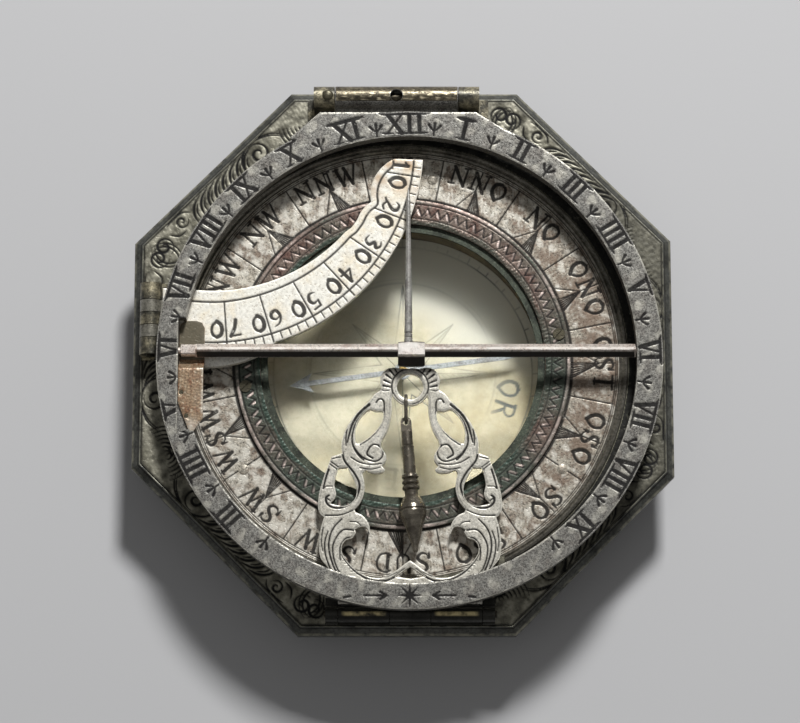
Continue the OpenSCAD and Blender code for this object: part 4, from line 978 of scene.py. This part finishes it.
def buildBezel(look):
    # a level band with gouged teeth, a painted highlight on one flank of each tooth and along the thin rim, a
    # green inner border and teal on the rim, and painted shade that is deepest at the sides and the south and
    # lightest to the north
    high = boxOf("zigzag_bezel")[1]
    inner = high[0] - look["width"]
    net = ringSkin((0, 0), steady(inner + inset), steady(high[0] - inset), look["pitch"], high[2])
    x, y, radius = net["x"], net["y"], net["radius"]
    depth = engrave(x, y, bezelStrokes(look), 0.07)
    turn = (net["angle"] * look["teeth"] / (2 * np.pi)) % 1
    up = (radius - look["zigIn"]) / (look["zigOut"] - look["zigIn"])
    # painted highlight on one flank of each tooth
    across = 0.4 - np.abs(turn - look["tip"] * up - 0.14) * 2.0
    facet = np.clip(9 * np.minimum(across, np.minimum(up, 0.9 - up)), 0, 1)
    facet *= np.clip(0.65 + 1.5 * smoothNoise(x, y, 2.6, 41), 0.0, 1)
    # painted highlight along the thin rim
    rim = np.clip(1.3 - np.abs(radius - (look["rimLine"] + high[0] + 0.04) / 2) / 0.17, 0, 1)
    shine = rim * np.clip(0.3 + 1.1 * smoothNoise(x, y, 7.0, 45), 0, 0.8)
    # painted shade by side: lighter to the north, darker to the south, the east and the west
    shadeBySide = np.where(y > 0, -0.5 * y, 0.2 * np.abs(y)) + 0.3 * np.abs(x)
    paintedShade = np.clip(0.28 + 0.9 * smoothNoise(x, y, 9.0, 47) + shadeBySide / 18, 0, 0.8)
    green = np.clip(0.9 - 2.2 * (radius - inner - 0.35) + 0.9 * smoothNoise(x, y, 3.0, 4), 0, 0.95)
    green *= 1 - 0.45 * np.clip(0.5 * (x + y) / 12, 0, 1)
    teal = np.clip(2.0 * smoothNoise(x, y, 6.0, 44) + 0.1, 0, 0.8) * rim
    granular = 0.05 * smoothNoise(x, y, 0.4, 8) * np.clip((look["innerLine"] - radius) * 4, 0, 1)
    heights = carved(look, depth, net["gap"]) + 0.012 * smoothNoise(x, y, 0.6, 8) + granular
    layers = {"engravedAndShade": depth * 0.95, "edge": np.maximum(facet, shine),
              "patch": np.maximum(np.maximum(green, teal), paintedShade)}
    finishPiece(raiseRing("zigzagBezelFace", net, heights, layers), "bezelCopper", "base")


buildBezel(zigzagBezel)
print("bezel made")

# Latitude arc.

latitudeArc = {
    "pitch": 0.08, "lift": 0.07, "cutDepth": 0.045, "softEdge": (0.18, 0.05), "centre": (-21.1, 24.35),
    "radius": 23.4, "zeroAngle": 3.9, "degree": 1.28, "lastCell": 74, "lastTen": 7, "tickBand": 1.0,
    "tenLine": 6.5, "figureRadius": 20.95, "figureHeight": 1.85, "figureTurn": 2.75, "figureWeight": 1.6,
    "hollowCorner": (-25.9, 22.5), "borderSpan": (-20.0, -5.0), "border": (1.3, 0.75),
}


def latitudeStrokes(look):
    # a cell every two degrees along the round edge; each tenth line runs on between its two figures
    centre, outer = look["centre"], look["radius"]
    inner = outer - look["tickBand"]
    strokes = [cut(oval(*centre, inner, inner, -92, -2, 120), 0.12)]
    for latitude in range(0, look["lastCell"], 2):
        angle = look["zeroAngle"] - latitude * look["degree"]
        strokes.append(rayLine(angle, outer, inner, 0.08, 1.0, centre))
    for ten in range(1, look["lastTen"] + 2):
        angle = look["zeroAngle"] - 10 * ten * look["degree"]
        strokes.append(rayLine(angle, outer, outer - look["tenLine"], 0.11, 0.8, centre))
        if ten <= look["lastTen"]:
            for digit, side in ((str(ten), 1), ("0", -1)):
                figure = standOn(figures[digit], look["figureRadius"], angle + side * look["figureTurn"],
                                 look["figureHeight"], centre)
                strokes += scaled(figure, width=look["figureWeight"])
    return strokes


def buildArc(look):
    # carved height + small dents; the border line keeps one distance from the hollow edge, wider to the hinge
    net = faceSkin("latitude_arc", look)
    x, y, gap = net["x"], net["y"], net["gap"]
    sides = net["edges"].mean(axis=1)
    away = np.hypot(sides[:, 0] - look["centre"][0], sides[:, 1] - look["centre"][1])
    west, north = look["hollowCorner"]
    hollow = net["edges"][(away < look["radius"] - 0.6) & (sides[:, 1] < north) & (sides[:, 0] > west)]
    inward = nearestEdge(x, y, hollow, 1.8)[0]
    border = np.interp(x, look["borderSpan"], look["border"])
    depth = engrave(x, y, latitudeStrokes(look), 0.06) * (inward > border)
    depth = np.maximum(depth, np.clip(2.3 - np.abs(inward - border) / 0.07, 0, 1)) * (gap > 0)
    heights = carved(look, depth, gap) + 0.01 * smoothNoise(x, y, 1.1, 9)
    tip = 0.75 * np.clip((y - 16.5) / 5, 0, 1) * np.clip(0.5 + 1.5 * smoothNoise(x, y, 2.2, 2), 0, 1)
    layers = {"engravedAndShade": depth, "edge": nearEdge(gap, 0.15), "patch": tip}
    finishPiece(raiseSkin("latitudeArcFace", net, heights, layers), "arcSilver", "arc")


buildArc(latitudeArc)
print("latitude arc made")

# Plummet bracket.

plummetBracket = {
    "pitch": 0.07, "lift": 0.075, "cutDepth": 0.05, "softEdge": (0.25, 0.06), "centre": 0.8,
    "eye": (0.0, -2.93), "weight": 1.5, "least": 0.015,
}


def bracketStrokes(look):
    # west half in the bracket's own lines, then mirrored: the eye's rim, the ear's flutes, the bands of the
    # scrolls with their curled ends, the collar, the leaf's veins and the swag along the foot; a band's knots
    # are distances to the west and the south, and its numbers a width and a taper
    eye = look["eye"]
    half = [cut(oval(*eye, 2.02, 2.02, 100, 262, 30), 0.09),
            cut([(-3.36, -3.19), (-2.85, -3.45), (-2.3, -3.36)], 0.055)]
    for turn in (132, 144, 157, 170, 182):
        half.append(cut([polarPoint(2.2, turn, eye), polarPoint(2.95, turn - 4, eye)], 0.09, 1.5))
    bands = [
        ([(3.72, 4.7), (3.44, 4.35), (3.02, 4.42), (2.84, 5.0), (2.95, 6.27), (3.28, 7.21), (3.85, 8.1),
          (4.6, 8.85), (5.5, 9.45)], 0.06, 0.8),
        ([(4.53, 4.95), (5.54, 5.84), (6.3, 7.04), (6.71, 8.4), (6.88, 9.17)], 0.12, 0.4),
        ([(4.79, 5.6), (5.68, 6.58), (6.15, 7.5), (6.38, 8.74), (6.2, 9.68), (5.7, 10.53),
          (5.11, 11.11)], 0.05, 1.2),
        ([(6.95, 7.72), (7.05, 8.66), (7.03, 9.51)], 0.06, 0.6),
        ([(3.35, 9.51), (4.1, 9.42), (4.61, 10.02), (4.69, 10.53), (4.1, 10.91)], 0.055, 1.2),
        ([(6.26, 9.57), (5.58, 10.48), (4.8, 11.04), (3.79, 11.27), (3.12, 10.82), (2.99, 10.02),
          (3.46, 9.57)], 0.06, 0.8),
        ([(6.48, 10.82), (5.47, 11.41), (4.24, 11.64), (3.12, 11.5)], 0.045, 0.8),
        ([(5.47, 12.0), (4.24, 12.14), (3.3, 11.95)], 0.045, 0.7),
        ([(7.43, 10.36), (7.15, 11.27), (6.25, 12.4), (5.66, 13.42), (5.55, 14.21), (5.91, 15.22),
          (6.68, 16.01), (7.57, 16.4), (8.47, 16.36), (9.1, 15.9), (9.2, 15.3), (8.9, 15.05)], 0.07, 1.1),
        ([(9.05, 15.39), (8.58, 15.7), (8.42, 15.5)], 0.05, 0.6),
        ([(8.93, 12.18), (9.25, 13.19), (9.5, 14.27)], 0.08, 0.7),
        ([(8.8, 11.55), (7.98, 12.18)], 0.04, 1.0),
        ([(8.69, 11.3), (7.84, 11.92)], 0.04, 1.0),
        ([(8.6, 10.99), (7.6, 10.79)], 0.035, 1.0),
        ([(9.5, 14.32), (9.2, 14.05), (8.5, 14.04)], 0.04, 0.7),
        ([(7.46, 17.64), (8.35, 18.6), (8.79, 19.72), (8.84, 21.07), (8.38, 22.74),
          (7.77, 23.92)], 0.05, 1.3),
        ([(8.96, 18.99), (9.31, 20.17), (9.24, 21.51), (8.79, 22.85), (8.21, 23.8)], 0.04, 1.4),
        ([(6.17, 18.88), (7.23, 18.82), (7.95, 19.5), (8.43, 20.62), (8.33, 21.96), (7.88, 23.19),
          (7.32, 23.92)], 0.06, 0.8),
        ([(9.5, 18.6), (9.68, 20.06), (9.52, 21.18)], 0.04, 0.7),
        ([(6.2, 19.72), (6.95, 19.74), (7.5, 20.45), (7.67, 21.07), (7.61, 22.18)], 0.05, 0.8),
        ([(6.51, 17.93), (5.79, 18.01), (5.35, 18.4)], 0.045, 0.6),
        ([(9.24, 17.25), (7.57, 17.19), (6.12, 16.63)], 0.06, 0.6),
        ([(7.5, 21.12), (7.22, 21.96), (6.21, 23.19), (5.32, 23.86), (4.21, 24.33), (2.77, 24.44),
          (1.66, 23.97), (0.66, 23.19)], 0.06, 1.1),
        ([(4.33, 23.86), (2.77, 24.03), (1.44, 23.52)], 0.035, 0.8),
        ([(7.6, 24.6), (7.4, 25.3), (6.9, 25.8)], 0.05, 0.6),
        ([(9.0, 23.4), (8.5, 24.3), (8.2, 25.2)], 0.045, 0.7),
    ]
    for knots, width, taper in bands:
        half.append(cut(through(-np.array(knots)), width * look["weight"] + look["least"], taper))
    for k in range(5):
        x, y = -7.33 + 0.22 * k, -22.25 - 0.3 * k
        half.append(cut([(x, y), (x + 0.48, y + 0.1)], 0.03, 0.6))
    return [stroke + np.array([look["centre"], 0, 0]) for stroke in half + scaled(half, -1)]


def buildBracket(look):
    # carved height + small dents, with a fine dark line all along its edge: an engraved border line that also
    # stands in for the shade along the edge
    net = faceSkin("plummet_bracket", look)
    x, y, gap = net["x"], net["y"], net["gap"]
    depth = engrave(x, y, bracketStrokes(look), 0.06)
    heights = carved(look, depth, gap) + 0.008 * smoothNoise(x, y, 0.9, 6)
    # engraved border line, also painted shade along the edge
    rimLine = np.clip(1 - np.abs(gap - 0.2) / 0.06, 0, 1) * 0.55
    layers = {"engravedAndShade": np.maximum(depth, rimLine), "edge": nearEdge(gap, 0.2)}
    finishPiece(raiseSkin("plummetBracketFace", net, heights, layers), "bracketSilver", "bracket")


buildBracket(plummetBracket)
print("bracket made")

# Corner foliage.

foliage = {
    "pitch": 0.1, "lift": 0.1, "cutDepth": 0.07, "softEdge": (0.3, 0.05), "inner": 25.02, "weight": 1.2,
    "beyond": 28.0, "flames": 8, "shell": (0.5, 0.95, 1.4, 1.85, 2.3, 2.75), "curls": 56,
    "curlRadius": 25.9, "ringEdge": 26.6,
}


def plateCorners(beyond):
    # the corners of the plate's top, anticlockwise: the ends of its outline's edges past one radius
    outline = flatFace("base_plate", boxOf("base_plate")[1][2])[1].reshape(-1, 2)
    corners = np.unique(np.round(outline[np.hypot(*outline.T) > beyond], 2), axis=0)
    return corners[np.argsort(np.arctan2(corners[:, 1], corners[:, 0]))]


def sideStrokes(length, look):
    # along one side, from its middle, as distance along it and depth in from the rim: a small scroll in the
    # first corner, a curl, a row of flames, a large scroll under long veins, and a shell of arcs in the last
    strokes = [
        swell(spiral(1.5, 1.7, 90, 1.15, -1.6, 34), 0.13), swell(oval(1.9, 2.3, 1.8, 1.7, 85, 235), 0.1),
        swell(oval(1.9, 2.3, 2.2, 2.1, 95, 225), 0.08), swell(spiral(4.9, 1.0, 20, 0.8, 1.3, 26), 0.12),
        swell(through([(2.9, 1.2), (3.6, 2.0), (4.6, 2.1)]), 0.1),
        swell(through([(3.2, 0.3), (4.1, 0.15), (5.6, 0.25), (6.3, 0.9)]), 0.09)]
    for k in range(look["flames"]):
        at = 6.4 + 1.12 * k
        flame = [(at - 0.2, 2.3), (at + 0.1, 1.4), (at + 0.9, 0.6), (at + 2.1, 0.2)]
        lick = [(at + 0.35, 2.2), (at + 0.55, 1.4), (at + 1.2, 0.75)]
        strokes += [swell(through(flame), 0.13), swell(through(lick), 0.08)]
    middle = length - 7.2
    strokes.append(swell(spiral(middle, 1.5, 250, 1.3, 1.5, 34), 0.14))
    for k in range(2):
        vein = [(-2.6, 2.2 + 0.3 * k), (-1.8 - 0.22 * k, 0.7 + 0.1 * k), (0, -0.1 - 0.02 * k),
                (2.2 + 0.2 * k, 0.7 - 0.1 * k), (3.4 + 0.25 * k, 2.0)]
        strokes.append(swell(through(np.array(vein) + np.array([middle, 0])), 0.1))
    strokes += [swell(oval(length - 1.4, 2.7, r, r * 1.05, 20, 215, 22), 0.12) for r in look["shell"]]
    return [stroke - np.array([length / 2, 0, 0]) for stroke in strokes]


def plateStrokes(corners, look):
    # each side carries the pattern, every other side mirrored; small curls lie under the hour ring
    strokes = []
    for k, (p, q) in enumerate(zip(corners, np.roll(corners, -1, axis=0))):
        length = np.linalg.norm(q - p)
        along = (q - p) / length
        inward = np.array([-along[1], along[0]])
        flip = 1 if k % 2 else -1
        for stroke in sideStrokes(length, look):
            xy = (p + q) / 2 + flip * stroke[:, :1] * along + stroke[:, 1:2] * inward
            strokes.append(np.hstack([xy, stroke[:, 2:] * look["weight"]]))
    curl = [swell(spiral(0, 0, 200, 0.62, -1.1, 16), 0.11),
            swell(through([(0.5, -0.3), (1.2, 0.25), (1.7, -0.5)]), 0.09)]
    for k in range(look["curls"]):
        strokes += standOn(curl, look["curlRadius"], k * 360 / look["curls"], 1.0)
    return strokes


def buildFoliage(look):
    # carved height + a fine grain; dark in the grooves, painted shade round the hour ring and to the east,
    # else worn
    net = faceSkin("base_plate", look, lambda x, y: np.hypot(x, y) > look["inner"])
    x, y, gap = net["x"], net["y"], net["gap"]
    depth = engrave(x, y, plateStrokes(plateCorners(look["beyond"]), look), 0.1)
    heights = carved(look, depth, gap) + 0.02 * np.clip(0.5 + 1.5 * smoothNoise(x, y, 0.55, 14), 0, 1)
    swellings = np.clip(1.6 * smoothNoise(x, y, 1.5, 17) + 0.55, 0, 1) * (1 - depth)
    # painted shade under and beside the hour ring, and to the east
    hollow = np.clip((look["ringEdge"] - np.hypot(x - hourRing["centre"][0], y)) / 1.2, 0, 0.95)
    east = 0.5 * np.clip((x - 18) / 7, 0, 1)
    dark = np.maximum(np.maximum(depth, nearEdge(gap, 0.45)), np.maximum(hollow, east))
    layers = {"engravedAndShade": dark, "edge": swellings * (1 - 1.6 * east)}
    finishPiece(raiseSkin("plateFoliage", net, heights, layers), "plateGilt", "base")


buildFoliage(foliage)
print("foliage made")

# Moulded rim: its profile is given as shares of its width and height.

mouldedRim = {
    "steps": 120, "worn": [2, 3, 8, 9], "dark": [6, 10],
    "profile": [(0.0, 0.0), (0.0, 0.55), (0.04, 0.62), (0.16, 0.66), (0.3, 0.72), (0.62, 0.86),
        (0.74, 0.9), (0.82, 0.985), (0.9, 1.0), (0.97, 0.985), (1.0, 0.93), (1.0, 0.0)],
}


def buildRim(look):
    # the profile swept round the plate's corners: outer + width's share x (inner - outer), and low + height's
    # share x (high - low), where outer = inner + the mitre of the two sides' normals x the width
    inner = plateCorners(foliage["beyond"])
    low, high = boxOf("rim_moulding")
    width = high[0] - inner[:, 0].max()
    sides = (np.roll(inner, -1, axis=0) - inner, inner - np.roll(inner, 1, axis=0))
    normals = [np.stack([d[:, 1], -d[:, 0]], axis=1) / np.hypot(*d.T)[:, None] for d in sides]
    mitre = (normals[0] + normals[1]) / (1 + np.sum(normals[0] * normals[1], axis=1, keepdims=True))
    share = np.linspace(0, 1, look["steps"], endpoint=False)
    a, b = subdivide(inner + mitre * width, share), subdivide(inner, share)
    profile = np.array(look["profile"])
    s, h = profile[:, 0][None, :, None], profile[:, 1]
    xy = a[:, None] + (b - a)[:, None] * (0.01 + 0.98 * s)
    z = low[2] + (high[2] - low[2]) * (0.005 + 0.99 * h) + 0 * xy[:, :, 0]
    worn = np.where(np.isin(np.arange(len(profile)), look["worn"]), 1.0, 0.1)
    dark = np.where(np.isin(np.arange(len(profile)), look["dark"]), 0.9, 0.0)
    layers = {"edge": np.tile(worn, len(a)), "engravedAndShade": np.tile(dark, len(a))}
    quads = gridQuads(len(a), len(profile), closeColumns=True, closeRows=True)[:, ::-1]
    piece = makePiece("mouldedRim", np.dstack([xy, z]).reshape(-1, 3), quads, layers, 28.0)
    finishPiece(piece, "rimDark", "base", ["rim_moulding"])


buildRim(mouldedRim)
print("rim made")

# Detent spring.

detentSpring = {"pitch": 0.06, "lift": 0.07, "drop": 0.05, "level": springBox[1][2], "shadeUnderBar": 0.0}
springTail = {"pitch": 0.06, "lift": 0.015, "drop": 0.01, "level": 11.23, "slack": 0.07, "shadeUnderBar": 0.9}


def buildSpring(name, look):
    # a level part of the leaf, with a painted highlight along its bevel and brighter at its south end, or in
    # dark olive painted shade where it runs north under the bar; height = lift + the soft edge's fall + a
    # quarter of the lift x noise
    net = faceSkin("detent_spring", look)
    x, y, gap = net["x"], net["y"], net["gap"]
    grain = 0.25 * look["lift"] * smoothNoise(x, y, 0.35, 51)
    heights = look["lift"] + softEdge(gap, 0.3, look["drop"]) + grain
    end = np.clip((-6.4 - y) / 1.2, 0, 1) * 0.6
    # painted highlight along the east bevel, and brighter toward the south end
    bright = np.maximum(nearEdge(gap, 0.35) * (x > -22.9), end) * (1 - look["shadeUnderBar"])
    layers = {"edge": bright, "patch": np.full(len(x), look["shadeUnderBar"])}
    finishPiece(raiseSkin(name, net, heights, layers), "springCopper", "ring")


buildSpring("detentSpringFace", detentSpring)
buildSpring("detentSpringTail", springTail)
print("spring made")

# Gnomon bar.

gnomonBar = {
    "y": 0.8, "z": 12.0, "side": 1.05, "proud": 0.02, "pitch": 0.16, "northShade": 0.25, "ridge": 78,
    "turns": (-12, -3, 3, 12, 28, 45, 62),
    "spans": {"gnomonBarWest": (-22.72, -0.42), "gnomonBarEast": (2.32, 25.55)},
}


def buildBar(look, name, start, end):
    # a square set on edge and carried along the bar: radius = half diagonal / (|cosine| + |sine|) + wear at
    # the same turns of each quarter, with smaller ends; the ridge carries a painted highlight, the south side
    # painted shade and the north side lighter painted shade
    reach = look["side"] / math.sqrt(2) + look["proud"]
    turns = np.radians(np.arange(0, 360, 90)[:, None] + np.array(look["turns"])).ravel()
    c, s = np.cos(turns), np.sin(turns)
    along = np.linspace(start, end, int((end - start) / look["pitch"]))[:, None]
    size = np.where(atEnds(along), 0.9, 1.0)
    wear = 0.015 * smoothNoise(along + 0.6 * c, 0.6 * s + 0 * along, 1.2, 61)
    radius = reach / (np.abs(c) + np.abs(s)) + wear
    points = carryAlong(along, look["y"] + radius * c * size, look["z"] + radius * s * size)
    # painted highlight on the ridge, painted shade on the facets
    ridge = np.clip(2.5 - np.abs(np.degrees(turns) - look["ridge"]) / 11, 0, 1)
    south = (c < -0.06) | (s < -0.1)
    shade = np.where(ridge > 0, 0.0, np.where(south, 1.0, look["northShade"]))
    layers = {"edge": np.tile(ridge, len(along)), "patch": np.tile(shade, len(along))}
    quads = gridQuads(len(along), len(turns), closeRows=True)
    finishPiece(makePiece(name, points, quads, layers, 30.0), "barSilver", "gnomon")


for name, (start, end) in gnomonBar["spans"].items():
    buildBar(gnomonBar, name, start, end)

gnomonBoss = {
    "spread": 1.035, "middle": (0.5, 11.7), "steps": 7, "stationCount": 40, "litFrom": 12.45,
    "stations": [-0.45, -0.53, -0.47, -0.2, 0.4, 1.5, 2.1, 2.37, 2.43, 2.35],
    "swell": [0.9, 0.96, 1.0, 1.02, 1.05, 1.05, 1.02, 1.0, 0.96, 0.9],
    "profile": [(1.35, 12.75), (1.65, 12.3), (1.65, 11.1), (1.2, 10.8), (-0.5, 10.8), (-0.75, 11.1),
        (-0.75, 11.65), (-0.05, 12.3), (0.25, 12.75)],
}


def buildBoss(look):
    # the boss's own section carried along the bar a little proud of it, with a painted highlight on top and
    # painted shade below: middle + (section - middle) x spread x swell x lumps
    middle = np.array(look["middle"])
    section = subdivide(np.array(look["profile"]), np.linspace(0, 1, look["steps"], endpoint=False))[::-1]
    section = middle + (section - middle) * look["spread"]
    knots = np.linspace(0, len(look["stations"]) - 1, look["stationCount"])
    rows = (look["stations"], look["swell"])
    along, size = [np.interp(knots, range(len(row)), row)[:, None] for row in rows]
    lumps = 1 + 0.012 * smoothNoise(along + section[None, :, 0], 2 * section[None, :, 1] + 0 * along, 0.7, 62)
    y, z = [middle[k] + (section[:, k] - middle[k]) * size * lumps for k in (0, 1)]
    points = carryAlong(along, y, z)
    # painted highlight on top, painted shade below
    lit = np.clip((points[:, 2] - look["litFrom"]) / 0.2, 0, 1)
    layers = {"edge": lit, "patch": 1 - lit}
    quads = gridQuads(len(along), len(section), closeRows=True)
    finishPiece(makePiece("gnomonBossFace", points, quads, layers, 30.0), "barSilver", "gnomon")


buildBoss(gnomonBoss)
print("gnomon bar made")

# Lit tops of the bracket's two knuckles.

knuckleTops = {"proud": 0.02, "pitch": 0.12, "turns": 48, "lit": 0.3, "litAt": 1.62, "endDrop": 0.06}


def buildKnuckleTops(look):
    # a sleeve round each knuckle, axis + radius x (cosine, sine), smaller at its ends, with a painted
    # highlight along its top
    low, high = boxOf("bracket_knuckles")
    points = nodeTriangles("bracket_knuckles").reshape(-1, 3)
    radius = (high[2] - low[2]) / 2 + look["proud"]
    middle = (low[1] + radius - look["proud"], (high[2] + low[2]) / 2)
    centre = (low[0] + high[0]) / 2
    west = points[points[:, 0] < centre, 0].max()
    turns = np.linspace(0, 2 * np.pi, look["turns"], endpoint=False)
    spans = {"bracketKnuckleWest": (low[0], west), "bracketKnuckleEast": (2 * centre - west, high[0])}
    for name, (start, end) in spans.items():
        along = np.linspace(start + inset, end - inset, int((end - start) / look["pitch"]))[:, None]
        reach = np.where(atEnds(along), radius - look["endDrop"], radius)
        reach = reach + 0.008 * smoothNoise(along + 0 * turns, radius * np.cos(turns) + 0 * along, 0.6, 63)
        spots = carryAlong(along, middle[0] + reach * np.cos(turns), middle[1] + reach * np.sin(turns))
        ends = np.clip(np.minimum(along - start, end - along) / 0.5 - 0.6, 0, 1)
        # painted highlight along the top
        lit = (np.clip((look["lit"] - np.abs(turns - look["litAt"])) * 8, 0, 1) * ends).ravel()
        quads = gridQuads(len(along), look["turns"], closeRows=True)
        piece = makePiece(name, spots, quads, {"edge": lit})
        finishPiece(piece, "hingeBlack", "bracket")


buildKnuckleTops(knuckleTops)

# Worn gilt on the hour ring's own knuckle, with a painted highlight along its top, open round its oil hole.

ringKnuckle = {
    "from": -7.5, "to": 6.1, "y": 29.6, "z": 11.9, "radius": 1.27, "pitch": 0.07, "start": -60, "end": 122,
    "turns": 60, "borderDrop": 0.05, "hole": 0.74, "holeAt": -0.7,
}


def buildRingKnuckle(look):
    # part of a cylinder along x, axis + radius x (cosine, sine), sunk a little at its borders, with bright
    # patches along its top: worn gilt in patches, kept to a band where a painted highlight falls
    along = np.linspace(look["from"], look["to"], int((look["to"] - look["from"]) / look["pitch"]))[:, None]
    turns = np.radians(np.linspace(look["start"], look["end"], look["turns"]))[None, :]
    noise = smoothNoise(along + 0 * turns, 1.2 * turns + 0 * along, 0.7, 64)
    lumps = np.where(atEnds(along) | atEnds(turns), -look["borderDrop"], 0.006 * noise)
    reach = look["radius"] + lumps
    points = carryAlong(along, look["y"] + reach * np.cos(turns), look["z"] + reach * np.sin(turns))
    worn = np.clip(3.0 * smoothNoise(0.4 * along + 0 * turns, 2.5 * turns + 0 * along, 0.6, 65) - 0.5, 0, 1)
    # worn gilt kept to a band along the top, as a painted highlight
    lit = (worn * np.clip(1.4 - np.abs(turns - 1.8) * 2.2, 0, 1)).ravel()
    quads = gridQuads(along.size, turns.size)
    middle = points[quads].mean(axis=1)
    beside = np.hypot(middle[:, 0] - look["holeAt"], middle[:, 1] - look["y"]) > look["hole"]
    quads = quads[beside | (middle[:, 2] < look["z"])]
    piece = makePiece("ringKnuckleFace", points, quads, {"edge": lit})
    finishPiece(piece, "knuckleGilt", "ring")


buildRingKnuckle(ringKnuckle)
print("knuckles made")

# Compass card.

compassCard = {
    "pitch": 0.16, "lift": 0.03, "cutDepth": 0.02, "hole": 0.28, "scale": 14.6, "ticks": 72, "tick": 15.1,
    "longTick": 15.35, "circles": ((10.5, 0.06), (10.85, 0.03), (14.6, 0.05)), "rays": (10.2, 8.0),
    "rayFoot": 2.6, "words": {"OR": -14, "ME": -90}, "wordRadius": 12.1, "wordHeight": 2.3, "wordGap": 1.2,
    "wordWeight": 1.2,
}


def cardStrokes(look):
    # circles, a rose of eight rays hatched on one side, a scale with every third tick longer, and two words
    strokes = [ringLine(radius, width, 121) for radius, width in look["circles"]]
    for k in range(8):
        angle, long = 90 + 45 * k, look["rays"][k % 2]
        tip, west, east = [np.array(polarPoint(radius, angle + turn)) for radius, turn in
                           ((long, 0), (look["rayFoot"], 22.5), (look["rayFoot"], -22.5))]
        strokes += [cut([tip, west], 0.06), cut([tip, east], 0.06), cut([(0, 0), tip], 0.045)]
        for t in np.linspace(0.15, 0.85, 9):
            a = east * (1 - t) + tip * t
            strokes.append(cut([a, tip * (np.hypot(*a) * 0.86 / long)], 0.03))
    for k in range(look["ticks"]):
        end = look["tick"] if k % 3 else look["longTick"]
        strokes.append(rayLine(k * 360 / look["ticks"], look["scale"], end, 0.04))
    for text, degrees in look["words"].items():
        strokes += word(text, look["wordRadius"], degrees, look["wordHeight"], look["wordGap"],
                        look["wordWeight"])
    return strokes


def buildCard(look):
    # height = lift - cut depth x depth; the print fades in patches, and the card is painted paler to the
    # north, a painted reflection of the glass's haze over the part in the box's shade
    high = boxOf("compass_card")[1]
    net = ringSkin((0, 0), steady(look["hole"]), steady(high[0] - inset), look["pitch"], high[2])
    x, y = net["x"], net["y"]
    depth = engrave(x, y, cardStrokes(look), 0.09)
    fade = np.clip(0.55 + smoothNoise(x, y, 8.0, 31), 0.15, 1)
    # painted reflection: paler to the north
    shade = np.clip(0.5 * smoothNoise(x, y, 9.0, 12) + (y + 0.4 * x - 3.0) / 7, 0, 1)
    layers = {"engravedAndShade": depth * fade, "patch": shade}
    heights = look["lift"] - look["cutDepth"] * depth
    finishPiece(raiseRing("compassCardFace", net, heights, layers), "cardCream", "base")


buildCard(compassCard)
print("card made")
